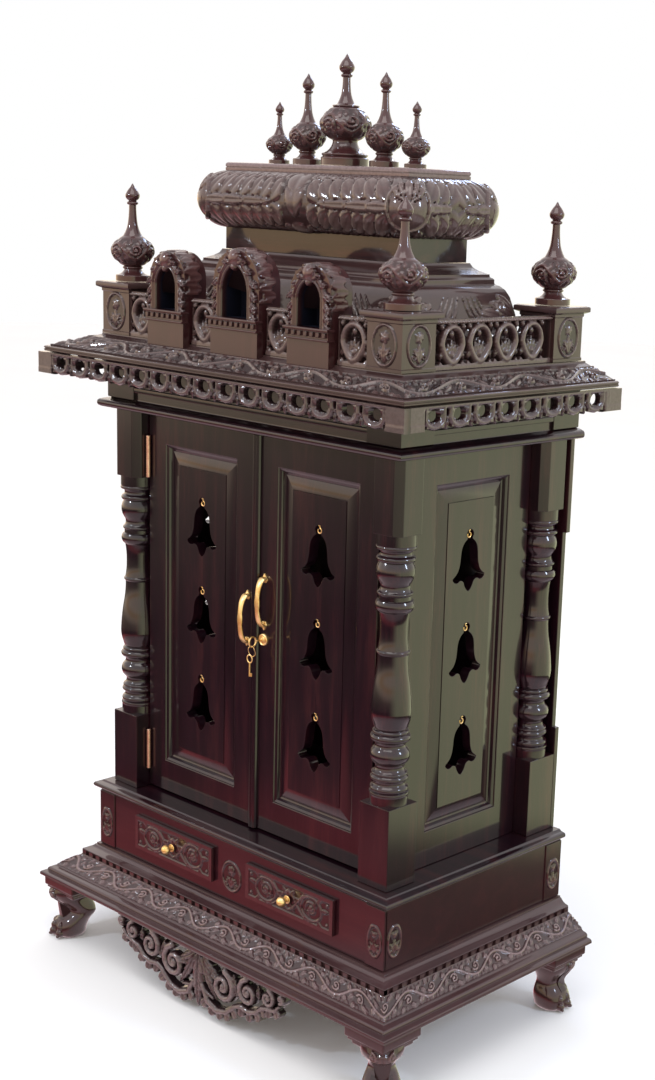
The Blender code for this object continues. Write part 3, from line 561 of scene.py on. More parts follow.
class Relief:
    # rise runs from 0 on the ground to 1, cover is how far inside the wood a point lies, in metres
    def __init__(self, x, y):
        self.x = x
        self.y = y
        self.rise = np.zeros_like(x)
        self.cover = np.full_like(x, -1)

    def add(self, near, rise, cover):
        self.rise[near] = np.maximum(self.rise[near], rise)
        self.cover[near] = np.maximum(self.cover[near], cover)

    def around(self, lowX, highX, lowY, highY):
        return np.nonzero((self.x > lowX) & (self.x < highX) & (self.y > lowY) & (self.y < highY))[0]

    def stroke(self, points, widths, height=1):
        # a rounded strand along points; widths are its half widths
        points = np.asarray(points, dtype=float)
        widths = np.broadcast_to(np.asarray(widths, dtype=float), len(points))
        margin = widths.max() + .004
        low, high = points.min(axis=0) - margin, points.max(axis=0) + margin
        near = self.around(low[0], high[0], low[1], high[1])
        x, y = self.x[near], self.y[near]
        inside, cover = np.full_like(x, -9), np.full_like(x, -1)
        for (ax, ay), (bx, by), wideA, wideB in zip(points, points[1:], widths, widths[1:]):
            dx, dy = bx - ax, by - ay
            t = np.clip(((x - ax) * dx + (y - ay) * dy) / (dx * dx + dy * dy + 1e-12), 0, 1)
            away = np.hypot(x - ax - t * dx, y - ay - t * dy)
            width = wideA + (wideB - wideA) * t
            inside = np.maximum(inside, 1 - away / width)
            cover = np.maximum(cover, width - away)
        self.add(near, height * rounded(inside), cover)

    def curl(self, x, y, radius, turns, start, width, hand=1, height=1):
        t = np.linspace(0, 1, int(10 * turns) + 4)
        angle = math.radians(start) + hand * math.tau * turns * t
        reach = radius * (1 - .8 * t ** .85)
        points = np.stack([x + reach * np.cos(angle), y + reach * np.sin(angle)], axis=1)
        self.stroke(points, width * (1 - .4 * t), height)
        self.bead(x, y, width * 1.05, height)

    def bead(self, x, y, radius, height=1, tall=1):
        margin = radius * max(1, tall) + .004
        near = self.around(x - margin, x + margin, y - margin, y + margin)
        away = np.hypot(self.x[near] - x, (self.y[near] - y) / tall)
        self.add(near, height * rounded(1 - away / radius), radius - away)

    def along(self, x, y, angle, length, width, bend):
        # the points near a leaf, how far along it they lie, from 0 to 1, and how far off its rib
        reach = length + width + .004
        near = self.around(x - reach, x + reach, y - reach, y + reach)
        dx, dy = self.x[near] - x, self.y[near] - y
        turn = math.radians(angle)
        t = (dx * math.cos(turn) + dy * math.sin(turn)) / length
        return near, t, np.abs(dy * math.cos(turn) - dx * math.sin(turn) - bend * length * t * t)

    def leaf(self, x, y, angle, length, width, height=1, teeth=0, bend=0, lift=0):
        # a pointed leaf from its foot, with a sunk rib and, if it has teeth, a cut edge; lift raises its tip
        near, t, off = self.along(x, y, angle, length, width, bend)
        inner = np.clip(t, 0, 1)
        half = width * np.sin(math.pi * inner ** .7) ** .75
        veins = teeth or 5
        if teeth:
            half = half * (.72 + .28 * ((teeth * inner) % 1))
        body = rounded(1 - off / np.maximum(half, 1e-5))
        rib = 1 - .38 * np.exp(-(off / (.1 * width + .0004)) ** 2)
        vein = 1 - .17 * (.5 + .5 * np.cos(math.tau * veins * (t - .45 * off / width)))
        cover = np.minimum(half - off, np.minimum(t, 1 - t) * length)
        slope = (1 - lift) + lift * inner ** .8 if lift else .72 + .28 * np.sin(math.pi * inner)
        rise = np.where(cover > 0, height * body * rib * vein * slope, 0)
        self.add(near, rise, cover)

    def lobe(self, x, y, angle, length, width, height=1, bend=0, lift=.6):
        # a plump leaflet with a round tip, laid over whatever was there before
        near, t, off = self.along(x, y, angle, length, width, bend)
        inner = np.clip(t, 0, 1)
        half = width * np.where(inner < .6, (inner / .6) ** .45,
                                np.sqrt(np.clip(1 - ((inner - .6) / .4) ** 2, 0, 1)))
        body = rounded((1 - off / np.maximum(half, 1e-5)) / .5)
        crease = 1 - .2 * np.exp(-(off / (.2 * width)) ** 2)
        cover = np.minimum(half - off, np.minimum(t, 1 - t) * length)
        rise = height * body * crease * (1 - lift + lift * inner)
        self.rise[near] = np.where(cover > 0, rise, self.rise[near])
        self.cover[near] = np.maximum(self.cover[near], cover)

    def flower(self, x, y, radius, petals=6, height=1):
        near = self.around(x - radius * 1.5, x + radius * 1.5, y - radius * 1.5, y + radius * 1.5)
        dx, dy = self.x[near] - x, self.y[near] - y
        away, turn = np.hypot(dx, dy), np.arctan2(dy, dx)
        lobe = np.abs(np.cos(petals * turn / 2))
        edge = radius * (.62 + .38 * lobe ** .6)
        rise = height * rounded(1 - away / edge) * (.62 + .3 * lobe)
        self.add(near, rise, edge - away)
        self.bead(x, y, radius * .26, height)

    def ring(self, x, y, halfX, halfY, width, height=1, start=0, end=360):
        turns = np.radians(np.linspace(start, end, int(abs(end - start) / 12) + 2))
        self.stroke(np.stack([x + halfX * np.cos(turns), y + halfY * np.sin(turns)], axis=1), width, height)

    def bar(self, lowX, highX, lowY, highY, height=1, edge=.0015):
        near = self.around(lowX - .004, highX + .004, lowY - .004, highY + .004)
        x, y = self.x[near], self.y[near]
        cover = np.minimum(np.minimum(x - lowX, highX - x), np.minimum(y - lowY, highY - y))
        self.add(near, height * rounded(cover / edge), cover)

    def hole(self, x, y, halfX, halfY, power=2):
        away = (np.abs((self.x - x) / halfX) ** power + np.abs((self.y - y) / halfY) ** power) ** (1 / power)
        self.cover = np.minimum(self.cover, (away - 1) * min(halfX, halfY))

    def repeat(self, pitch, motif, flip=False, offset=0):
        # the motif's own x runs from 0 to pitch; flip turns every second one over
        index = np.floor((self.x - offset) / pitch)
        local = self.x - offset - index * pitch
        for step in (-1, 0, 1):
            sign = np.where((index + step) % 2 < .5, 1, -1) if flip else 1
            part = Relief(local - step * pitch, self.y * sign)
            motif(part)
            self.add(slice(None), part.rise, part.cover)

    def mirrored(self, motif):
        part = Relief(np.abs(self.x), self.y)
        motif(part)
        self.add(slice(None), part.rise, part.cover)


# how a pierced carving's points move onto its edges: how near and how far, in cells, and the cover's slope
snapping = {"near": .72, "most": .9, "steep": .2, "steepest": .3}
# the back of a carving, and the walls of its holes towards it, get a low rise, so they take the painted
# recess shade
rearRise = .15


def carve(spans, cell, pattern, lay, depth, base=0, back=-.003, pierced=False, wrap=False):
    # a grid with the pattern's relief, laid on the wood; lay turns (along, up, outward) into places
    (lowU, highU), (lowV, highV) = spans
    cellsU, cellsV = max(2, round((highU - lowU) / cell)), max(2, round((highV - lowV) / cell))
    bm = bmesh.new()
    layer = bm.verts.layers.float.new("rise")
    made = bmesh.ops.create_grid(bm, x_segments=cellsU, y_segments=cellsV, size=1)["verts"]
    flat = np.array([vert.co[:2] for vert in made])
    flat = (flat - flat.min(axis=0)) / np.ptp(flat, axis=0)
    columns = np.rint(flat[:, 0] * cellsU).astype(int)
    rows = np.rint(flat[:, 1] * cellsV).astype(int)
    u, v = lowU + flat[:, 0] * (highU - lowU), lowV + flat[:, 1] * (highV - lowV)
    relief = Relief(u, v)
    pattern(relief)
    if pierced:
        # the grid's points beside an edge of the wood move onto it, and the faces outside go
        table = np.full((cellsU + 1, cellsV + 1), -1.0)
        table[columns, rows] = relief.cover
        stepU, stepV = (highU - lowU) / cellsU, (highV - lowV) / cellsV
        slopeU, slopeV = np.gradient(table, stepU, stepV)
        slopeU, slopeV = slopeU[columns, rows], slopeV[columns, rows]
        steep = np.hypot(slopeU, slopeV)
        beside = (np.abs(relief.cover) < snapping["near"] * cell) & (steep > snapping["steep"])
        shift = np.where(beside, relief.cover / np.maximum(steep, snapping["steepest"]), 0)
        shift = np.clip(shift, -snapping["most"] * cell, snapping["most"] * cell)
        inside = (relief.cover > 0) | (shift != 0)
        u = np.clip(u - shift * slopeU / np.maximum(steep, 1e-6), lowU, highU)
        v = np.clip(v - shift * slopeV / np.maximum(steep, 1e-6), lowV, highV)
        kept = dict(zip(made, inside))
        spare = [face for face in bm.faces if not all(kept[vert] for vert in face.verts)]
    for vert, x, y, rise in zip(made, u, v, relief.rise):
        vert.co = (x, y, 0)
        vert[layer] = rise
    if pierced:
        bmesh.ops.delete(bm, geom=spare, context="FACES")
    front = bm.verts[:]
    if pierced:
        rear = freshVerts(bmesh.ops.extrude_face_region(bm, geom=bm.faces[:], use_keep_orig=True)["geom"])
    elif wrap:
        rear = []
    else:
        rim = [edge for edge in bm.edges if edge.is_boundary]
        grown = bmesh.ops.extrude_edge_only(bm, edges=rim)["geom"]
        rear = freshVerts(grown)
        behind = set(rear)
        edges = [part for part in grown if isinstance(part, bmesh.types.BMEdge)]
        bmesh.ops.edgeloop_fill(bm, edges=[edge for edge in edges if behind.issuperset(edge.verts)])
    for verts, isFront in ((front, True), (rear, False)):
        if not verts:
            continue
        places = np.array([vert.co[:2] for vert in verts])
        heights = np.array([vert[layer] for vert in verts])
        outward = base + heights * depth if isFront else np.full(len(verts), back)
        laid = lay(places[:, 0], places[:, 1], outward)
        for vert, place in zip(verts, laid):
            vert.co = place
            if not isFront:
                vert[layer] = rearRise
    return bm


def flatLay(origin, across, up):
    # a flat face: across is its u, up its v, and it faces across x up
    origin, across, up = np.array(origin), np.array(across, dtype=float), np.array(up, dtype=float)
    out = np.cross(across, up)

    def lay(u, v, d):
        return origin + np.outer(u, across) + np.outer(v, up) + np.outer(d, out)
    return lay


def fretwork(shape, spans, pattern, lay):
    # a pierced board whose relief is cut down from its face
    return carve(spans, shape["cell"], pattern, lay, shape["relief"], base=-shape["relief"],
                 back=.0002 - shape["thick"], pierced=True)


facing = {"front": (1, 0, 0), "right": (0, 1, 0), "left": (0, -1, 0), "back": (-1, 0, 0)}


def lengthsAlong(line):
    return np.concatenate([[0], np.cumsum(np.hypot(*np.diff(line, axis=0).T))])


def mitred(side, plan, profile, length):
    # one side of a mitred frame whose section is profile, a list of (outward, height) from the foot up
    profile = np.array(profile)
    run = lengthsAlong(profile)
    tilt = profile[-1] - profile[0]
    tilt = tilt / np.hypot(*tilt)

    def lay(u, v, d):
        out = np.interp(v, run, profile[:, 0]) + tilt[1] * d
        z = np.interp(v, run, profile[:, 1]) - tilt[0] * d
        half, front = plan["half"] + out, plan["front"] - out
        back = plan["back"] + out * plan["backGrows"]
        share = u / (length / 2)
        if side in ("front", "back"):
            sign = -1 if side == "front" else 1
            return np.stack([-sign * share * half, front if side == "front" else back, z], axis=1)
        sign = 1 if side == "right" else -1
        return np.stack([sign * half, front + (back - front) * (share + 1) / 2, z], axis=1)
    return lay, run[-1]


def rectangleAt(plan, out, z):
    half, front, back = plan["half"] + out, plan["front"] - out, plan["back"] + out * plan["backGrows"]
    return [(-half, front, z), (half, front, z), (half, back, z), (-half, back, z)]


def moulded(plan, section):
    # a board whose edges follow section, a list of (outward, height)
    return loft([rectangleAt(plan, out, z) for out, z in section])


def vine(pitch, half, width, leafy=1):
    # half a wave of a stem, with a curl in its hollow and leaves outside it
    def motif(r):
        t = np.linspace(0, 1, 12)
        r.stroke(np.stack([pitch * t, .66 * half * np.sin(math.pi * t)], axis=1), width, .85)
        r.curl(.54 * pitch, -.16 * half, .5 * half, 1.35, 150, width * .85, hand=-1)
        for along, off, angle, length, wide, height, teeth, bend in (
                (.1, .3, 98, .62 * half, .22, .95, 3, 0),
                (.9, .32, 62, .6 * half, .18, .9, 3, 0),
                (.3, .1, 205, .3 * pitch, .15, .8, 0, .3),
                (.62, -.58, -18, .32 * pitch, .16, .85, 3, -.3),
                (.34, -.55, 232, .26 * pitch, .14, .8, 0, .3)):
            r.leaf(along * pitch, off * half, angle, length, wide * half * leafy, height, teeth, bend)
        r.bead(.54 * pitch, .86 * half, width * .9, .8)
    return motif


# feet: a moulded block, a leg with a carved knee, and a claw

footShape = {
    "x": .4055, "front": -.2145, "back": .212,
    # blocks over the leg: half size, low, high, edge, segments
    "blocks": [(.0438, .0995, levels["plinth"] - .0003, .0035, 4), (.04, .0945, .1, .0015, 3),
               (.0355, .0855, .096, .004, 3)],
    # height, outward shift, half length outwards, half width across
    "rows": [
        (.0985, .01, .034, .034), (.088, .013, .036, .034), (.078, .012, .0345, .0325),
        (.068, .004, .0305, .0275), (.058, -.005, .0265, .0225), (.05, -.008, .025, .02),
        (.043, -.004, .0262, .0222), (.035, .006, .029, .027), (.026, .013, .031, .03),
        (.015, .0165, .0305, .03), (.006, .016, .0285, .028), (.0006, .014, .023, .023)],
    "square": .05,
    # toes by angle, each of knuckles: reach, height, radius, and how tall
    "toes": (-62, -22, 22, 62), "toesOut": .0165,
    "knuckles": ((.024, .0105, .01, .95), (.0218, .0215, .0092, 1.1),
                 (.0335, .006, .0042, .85)),
    "sole": .0003,
    "knee": ((-.028, .028), (.034, .0965)), "girth": .033, "cell": .0014, "relief": .0034,
}


def makeFoot(name, side, end, kick):
    centre = Vector((side * footShape["x"], footShape["front"] if end < 0 else footShape["back"], 0))
    outward = Vector((side, end, 0)).normalized()
    across = Vector((-outward.y, outward.x, 0))
    rows = np.array(footShape["rows"][::-1])
    square = footShape["square"]

    def section(z):
        # the leg's outward shift and half sizes at a height
        return [np.interp(z, rows[:, 0], rows[:, k]) for k in (1, 2, 3)]

    bm = bmesh.new()
    for size, low, high, edge, segments in footShape["blocks"]:
        low, high = centre + Vector((-size, -size, low)), centre + Vector((size, size, high))
        addBlock(bm, low, high, edge, segments)
    loops = []
    for z in np.interp(np.linspace(0, 1, 22), np.linspace(0, 1, len(rows)), rows[:, 0]):
        shift, long, wide = section(z)
        long *= 1 - .3 * (1 - kick) * math.exp(-((z - .054) / .016) ** 2)
        middle = centre + outward * (shift * kick) + Vector((0, 0, z))
        loop = []
        for turn in (math.tau * k / 28 for k in range(28)):
            swell = 1 + square * math.cos(4 * turn)
            out, aside = long * math.cos(turn) * swell, wide * math.sin(turn) * swell
            loop.append(middle + outward * out + across * aside)
        loops.append(loop)
    join(bm, loft(loops))
    for angle in footShape["toes"]:
        way = outward * math.cos(math.radians(angle)) + across * math.sin(math.radians(angle))
        for reach, z, size, tall in footShape["knuckles"]:
            toe = bmesh.new()
            bmesh.ops.create_uvsphere(toe, u_segments=14, v_segments=9, radius=size)
            bmesh.ops.scale(toe, vec=(1.3, .85, tall), verts=toe.verts)
            turn = Matrix.Rotation(math.atan2(way.y, way.x), 4, "Z")
            place = centre + outward * (footShape["toesOut"] * kick) + way * reach + Vector((0, 0, z))
            join(bm, toe, Matrix.Translation(place) @ turn)
    for vert in bm.verts:
        vert.co.z = max(vert.co.z, footShape["sole"])
    paint(bm, .42)

    def lay(u, v, d):
        shift, long, wide = section(v)
        angle = u / footShape["girth"]
        reach = np.stack([np.cos(angle) * long, np.sin(angle) * wide], axis=1)
        reach *= (1 + square * np.cos(4 * angle) + d / .03)[:, None]
        flat = np.outer(shift * kick + reach[:, 0], outward) + np.outer(reach[:, 1], across)
        return np.array(centre) + flat + np.outer(v, up)

    def knee(r):
        r.leaf(0, .094, 270, .058, .013, 1, teeth=5)
        for sign in (-1, 1):
            r.curl(sign * .0165, .0845, .0085, 1.4, 90, .0028, hand=sign)
            r.leaf(sign * .006, .09, 270 + sign * 34, .034, .007, .8, teeth=4)
            stem = [(sign * .009, .078), (sign * .014, .062), (sign * .012, .046)]
            r.stroke(stem, (.002, .0018, .001), .7)

    join(bm, carve(footShape["knee"], footShape["cell"], knee, lay, footShape["relief"], back=-.004))
    finishPiece(name + "Carved", bm, wood["redZ"], replaces=name, smooth=50)


for word, side in hands:
    makeFoot(f"foot_front_{word}", side, -1, 1)
    makeFoot(f"foot_back_{word}", side, 1, .3)
print("feet made")


# plinth: a mitred moulded frame with a vine on its slope and a row of dentils

plinthShape = {
    "section": [
        (.098, .1183), (.0997, .1195), (.0999, .1218), (.0997, .1244), (.097, .1266), (.0905, .1272),
        (.089, .1282), (.0896, .1305), (.0889, .1332), (.0862, .1352), (.0795, .1366), (.0772, .1382),
        (.0752, .1408), (.0432, .1602), (.0384, .1612), (.0376, .1706), (.0432, .1711), (.0436, .1722),
        (.0425, .1732), (.0372, .1742), (.0318, .1768), (.0282, .1802), (.0268, .1822), (.024, .183),
        (.024, .1857)],
    "inner": -.022,
    "dentil": {"wide": .0105, "tall": .0092, "deep": .008, "pitch": .0205, "z": .166, "reach": .0434},
    "band": [(.0762, .1398), (.043, .1612)], "depth": .003, "cell": .00145,
    "lengths": {"front": .834, "right": .489, "left": .489},
    # one wave of the vine, how far it keeps from the edges, its stem, its leaves, and the edges' width
    "vine": {"wave": .056, "margin": .0022, "stem": .0027, "leafy": 1.9, "edge": .0016},
}


def bandPattern(run, motif, pitch, edgeWidth):
    # a vine between two raised edges, with small leaves that fill the ground along both
    def fringe(r):
        step = pitch / 5
        for sign in (-1, 1):
            for k in range(5):
                foot = (k + .5) * step, -sign * run * .47
                r.leaf(*foot, sign * (62 if k % 2 else 118), run * .24, step * .3, .62, lift=.3)

    def pattern(r):
        r.y = r.y - run / 2
        r.repeat(pitch, fringe)
        r.repeat(pitch, motif, flip=True)
        low, high = r.x.min(), r.x.max()
        for sign in (-1, 1):
            edges = sorted((sign * (run / 2 - edgeWidth), sign * (run / 2 + .01)))
            r.bar(low - 1, high + 1, *edges, .55, .0012)
    return pattern


def addVineBands(bm, shape):
    # a carved vine along the front and both sides of a mitred frame
    growth = shape["vine"]
    for side, length in shape["lengths"].items():
        lay, run = mitred(side, body, shape["band"], length)
        pitch = length / round(length / growth["wave"])
        motif = vine(pitch, run / 2 - growth["margin"], growth["stem"], growth["leafy"])
        pattern = bandPattern(run, motif, pitch, growth["edge"])
        join(bm, carve(((-length / 2, length / 2), (0, run)), shape["cell"], pattern, lay, shape["depth"]))


def makePlinth():
    loops = [rectangleAt(body, out, z) for out, z in plinthShape["section"]]
    inner = plinthShape["inner"]
    inside = {**body, "backGrows": 1}
    loops += [rectangleAt(inside, inner, z) for z in (levels["case"] - .0003, levels["plinth"] + .0003)]
    bm = loft(loops, closed=True)
    dentil = plinthShape["dentil"]
    wide, deep, tall, reach = (dentil[key] for key in ("wide", "deep", "tall", "reach"))
    for side, low, high in (("front", -body["half"] - reach, body["half"] + reach),
                            ("right", body["front"] - reach, body["back"]),
                            ("left", body["front"] - reach, body["back"])):
        count = int((high - low) / dentil["pitch"])
        for k in range(count + 1):
            place = low + wide / 2 + (high - low - wide) * k / count
            if side == "front":
                size = Vector((wide, deep, tall))
                middle = Vector((place, body["front"] - reach + deep / 2, dentil["z"]))
            else:
                size = Vector((deep, wide, tall))
                sign = 1 if side == "right" else -1
                middle = Vector((sign * (body["half"] + reach - deep / 2), place, dentil["z"]))
            addBlock(bm, middle - size / 2, middle + size / 2, 0)
    paint(bm, .3)
    addVineBands(bm, plinthShape)
    # the plinth takes the lighter copy of the carved finish: painted light on its low carving
    finishPiece("plinthCarved", bm, wood["paintedLightX"], replaces="plinth", smooth=40)


makePlinth()
print("plinth made")


# apron: pierced scrolls under the front

apronShape = {
    "half": .2245, "top": .1175, "low": .0095, "face": -.2608, "thick": .0175, "relief": .01,
    "cell": .00145,
    # one half of the pattern, from its middle: lobes (x, y, angle, length) behind the rest
    "lobes": [
        (.024, -.082, 232, .018), (.04, -.089, 258, .017), (.057, -.089, 280, .017),
        (.073, -.084, 298, .019), (.089, -.074, 314, .02), (.117, -.06, 258, .02), (.133, -.062, 282, .02),
        (.149, -.056, 306, .02), (.166, -.044, 300, .018), (.182, -.039, 275, .017),
        (.198, -.036, 300, .016)],
    # leaves: x, y, angle, length, width, height, teeth, bend
    "leaves": [
        (0, -.004, 270, .1, .019, 1, 6, 0), (.01, -.008, 292, .078, .012, .85, 5, .15),
        (.012, -.006, 318, .05, .01, .75, 4, .2), (.03, -.03, 345, .026, .008, .8, 3, 0),
        (.098, -.046, 100, .036, .009, .85, 4, 0), (.156, -.036, 92, .028, .007, .8, 3, 0),
        (.094, -.048, 30, .02, .006, .7, 0, 0)],
    # scrolls: x, y, radius, turns, start, width, hand
    "curls": [
        (.066, -.043, .03, 1.55, 80, .0072, -1), (.13, -.032, .0245, 1.5, 100, .0064, 1),
        (.18, -.023, .016, 1.4, 80, .005, -1), (.212, -.013, .008, 1.2, 260, .0042, 1)],
    # the lower edge: x, y, half width
    "edge": [
        (.012, -.06, .005), (.026, -.085, .0065), (.05, -.094, .0065), (.075, -.088, .006),
        (.096, -.07, .005), (.112, -.062, .005), (.132, -.066, .006), (.15, -.06, .0055),
        (.165, -.046, .0045), (.18, -.042, .0048), (.196, -.04, .0045), (.208, -.028, .003)],
}


def apronPattern(r):
    def one(r):
        for x, y, angle, long in apronShape["lobes"]:
            r.lobe(x, y, angle, long, .01, .92, lift=.3)
        r.bar(-.01, apronShape["half"], -.0065, .001, .75, .003)
        for leaf in apronShape["leaves"]:
            r.leaf(*leaf)
        for curl in apronShape["curls"]:
            r.curl(*curl)
        edge = np.array(apronShape["edge"])
        r.stroke(edge[:, :2], edge[:, 2], .9)
        r.stroke([(.008, -.058), (.022, -.07), (.04, -.074)], (.004, .004, .003), .7)
    r.mirrored(one)


def makeApron():
    shape = apronShape
    lay = flatLay((0, shape["face"], shape["top"]), facing["front"], up)
    spans = ((-shape["half"], shape["half"]), (shape["low"] - shape["top"], 0))
    bm = carve(spans, shape["cell"], apronPattern, lay, shape["relief"], base=-shape["relief"],
               back=-shape["thick"], pierced=True)
    finishPiece("apronCarved", bm, wood["inkyX"], replaces="apron", smooth=60)


makeApron()
print("apron made")


# drawer stage: the case with its medallions, the drawers with scroll fronts, and brass knobs

caseShape = {
    "out": .018, "strip": .043, "proud": .0022, "stripLow": .187, "stripHigh": .2915,
    "medallion": (.017, .029), "middleMedallion": .026, "medallionIn": .0045, "z": .233,
}
drawerShape = {
    "x": .1525, "half": .108, "low": .211, "high": .2745, "frame": .0085, "gap": .0006, "let": .0034,
    "cell": .00125, "relief": .0032,
    # one half of the front, from its middle. Strands, of (x, y, half width), and leaves
    "strands": [[(0, -.019, .002), (.012, -.012, .0024), (.024, .004, .0024),
                 (.036, .017, .0022), (.05, .021, .0016)],
                [(0, .016, .002), (.012, .008, .0024), (.022, -.006, .0022),
                 (.036, -.019, .002), (.052, -.022, .0014)]],
    # x, y, angle, length, width, height
    "leaves": [
        (0, -.004, 90, .024, .0058, .95), (.004, .006, 52, .018, .0046, .85),
        (.004, -.006, -48, .018, .0044, .8), (.03, .002, 160, .016, .0046, .85),
        (.07, .016, 40, .02, .0046, .85), (.07, -.016, -42, .02, .0046, .85),
        (.08, .004, 8, .018, .0046, .85), (.042, .018, 120, .014, .0046, .85),
        (.044, -.018, 245, .012, .0046, .85), (.066, .004, 100, .014, .0046, .85),
        (.046, -.004, 300, .014, .0046, .85)],
}
knobShape = [(0, .0218, .35), (.0088, .0135, .35), (.005, .0078, 0), (.0038, .0068, -.2),
             (.0042, .0022, 0), (.0062, .002, .3), (.0074, .0006, 0), (0, .0001, 0)]
ledgeShape = [(.0195, .2945, -.25), (.0235, .2975, 0), (.0262, .2982, -.45), (.0262, .3062, 0),
              (.0225, .3072, .2), (.0145, .3105, 0)]


def addMedallion(bm, side, origin, halfX, halfY, depth=.0024):
    def pattern(r):
        r.ring(0, 0, halfX - .0022, halfY - .0022, .0021, .9)
        r.leaf(0, -halfY * .8, 90, halfY * .95, halfX * .3, 1, teeth=3)
        r.flower(0, halfY * .36, halfX * .36, 5, 1)
        for sign in (-1, 1):
            r.leaf(sign * .0006, -halfY * .5, 90 - sign * 42, halfY * .52, halfX * .2, .9, teeth=3)
            r.leaf(0, halfY * .3, 90 - sign * 48, halfY * .36, halfX * .16, .8)
            r.curl(sign * halfX * .45, -halfY * .5, halfX * .24, 1.2, 90, .0012, hand=sign)
        away = np.hypot(r.x / halfX, r.y / halfY) - 1
        r.cover = np.maximum(r.cover, .0008 - away * halfX)
    lay = flatLay(origin, facing[side], up)
    join(bm, carve(((-halfX, halfX), (-halfY, halfY)), .0014, pattern, lay, depth, base=.0001, back=-.001,
                   pierced=True))


def makeCase():
    shape = caseShape
    out, strip, proud = shape["out"], shape["strip"], shape["proud"]
    halfX, halfY = shape["medallion"]
    front, back, corner = body["front"] - out, body["back"], body["half"] + out
    bm = softened("drawer_case", .0012)
    for sign in (-1, 1):
        # the end blocks stand a little proud, with a groove beside them
        x0, x1 = sorted((sign * (corner - strip), sign * corner))
        addBlock(bm, (x0, front - proud, shape["stripLow"]), (x1, front + .004, shape["stripHigh"]))
        x0, x1 = sorted((sign * (corner - .004), sign * (corner + proud)))
        addBlock(bm, (x0, back - strip, shape["stripLow"]), (x1, back - .0002, shape["stripHigh"]))
    paint(bm, .42)
    inFromEnd = halfX + shape["medallionIn"]
    for x in (-corner + inFromEnd, corner - inFromEnd):
        addMedallion(bm, "front", (x, front - proud, shape["z"]), halfX, halfY)
    addMedallion(bm, "front", (0, front, shape["z"]), shape["middleMedallion"], halfY)
    for side, sign in (("right", 1), ("left", -1)):
        for y, stand in ((front + inFromEnd, 0), (back - strip / 2, proud)):
            addMedallion(bm, side, (sign * (corner + stand), y, shape["z"]), halfX, halfY)
    finishPiece("drawerCaseCarved", bm, wood["burgundyX"], replaces="drawer_case",
                smooth=40)


def drawerPattern(half, tall):
    inner, high = half - drawerShape["frame"], tall - drawerShape["frame"]

    def one(r):
        r.ring(.056, 0, .0245, .0205, .0022, .8)
        r.curl(.056, 0, .015, 1.4, 200, .0022, hand=-1, height=.85)
        r.flower(.056, 0, .0072, 5, 1)
        for strand, height in zip(drawerShape["strands"], (.9, .85)):
            strand = np.array(strand)
            r.stroke(strand[:, :2], strand[:, 2], height)
        for leaf in drawerShape["leaves"]:
            r.leaf(*leaf, teeth=3)
        for y in (-1, 1):
            r.bead(inner - .006, y * (high - .006), .0028, 1)

    def pattern(r):
        r.mirrored(one)
        fromEdge = np.minimum(inner - np.abs(r.x), high - np.abs(r.y))
        border = np.clip(1 - fromEdge / .0014, 0, 1)
        r.rise = np.maximum(.16 + .74 * r.rise * (fromEdge > 0), border * .62)
    return pattern


def makeDrawer(word, side):
    name = f"drawer_{word}"
    shape = drawerShape
    middle = side * shape["x"]
    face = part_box(name)[0][1]
    half, tall, z = shape["half"], (shape["high"] - shape["low"]) / 2, (shape["low"] + shape["high"]) / 2
    bm = softened(name, .0009)
    for vert in bm.verts:
        # the front board is thinned, and the carved face is laid on it
        if vert.co.y < face + .0022:
            vert.co.y += shape["let"]
    paint(bm, .42)
    lay = flatLay((middle, face + shape["let"], z), facing["front"], up)
    wide, high = half - shape["gap"], tall - shape["gap"]
    join(bm, carve(((-wide, wide), (-high, high)), shape["cell"], drawerPattern(half, tall), lay,
                   shape["relief"], back=-.001))
    finishPiece(f"drawerFront{word.capitalize()}", bm, wood["burgundyX"], rides=name, replaces=name,
                smooth=40)
    knob = spun(arcs(knobShape), 28)
    place = Matrix.Translation((middle, face - .0002, z)) @ Matrix.Rotation(math.pi / 2, 4, "X")
    bmesh.ops.transform(knob, matrix=place, verts=knob.verts)
    finishPiece(f"knob{word.capitalize()}", knob, metal, rides=name, replaces=f"knob_{word}")


makeCase()
for word, side in hands:
    makeDrawer(word, side)
ledge = moulded(body, [(.0185, .2933)] + arcs(ledgeShape) + [(.0138, .3109)])
finishPiece("ledgeBoard", ledge, wood["x"], replaces="ledge_board", smooth=40)
print("drawer stage made")


# cabinet: turned posts between square blocks

postShape = {
    "x": .322, "front": body["front"] + .033, "back": body["back"] - .0103 - .033,
    "block": .033, "low": (.3113, .45), "high": (.891, 1.0117), "chamfer": .0125,
    "turned": [
        (0, .895, 0), (.0322, .895, 0), (.0322, .8735, 0), (.0318, .8725, .4), (.0318, .867, 0),
        (.0268, .865, -.25), (.0268, .857, 0), (.03, .855, .45), (.03, .8475, 0), (.0272, .846, .3),
        (.0268, .815, 0), (.0258, .8135, -.3), (.0262, .8, 0), (.028, .7985, .5), (.028, .794, 0),
        (.0262, .7925, 0), (.0262, .786, 0), (.0292, .7845, .4), (.027, .767, 0), (.025, .7655, -.05),
        (.0228, .73, -.05), (.0252, .705, 0), (.0262, .704, .5), (.0262, .6985, 0), (.0246, .697, -.05),
        (.0285, .655, .03), (.0331, .61, .12), (.0292, .583, .1), (.0262, .5745, 0), (.0285, .573, .45),
        (.0285, .5675, 0), (.031, .566, .45), (.031, .556, 0), (.0268, .554, -.3), (.0262, .5445, 0),
        (.0276, .5435, .42), (.0276, .519, 0), (.0256, .5175, -.35), (.0262, .505, 0), (.0286, .5035, .5),
        (.0286, .4985, 0), (.03, .497, .45), (.03, .4905, 0), (.0272, .489, -.3), (.0276, .4815, 0),
        (.0298, .48, .45), (.0298, .4715, 0), (.0322, .47, .2), (.0322, .4655, 0), (.0318, .464, 0),
        (.0318, .447, 0), (0, .447, 0)],
}


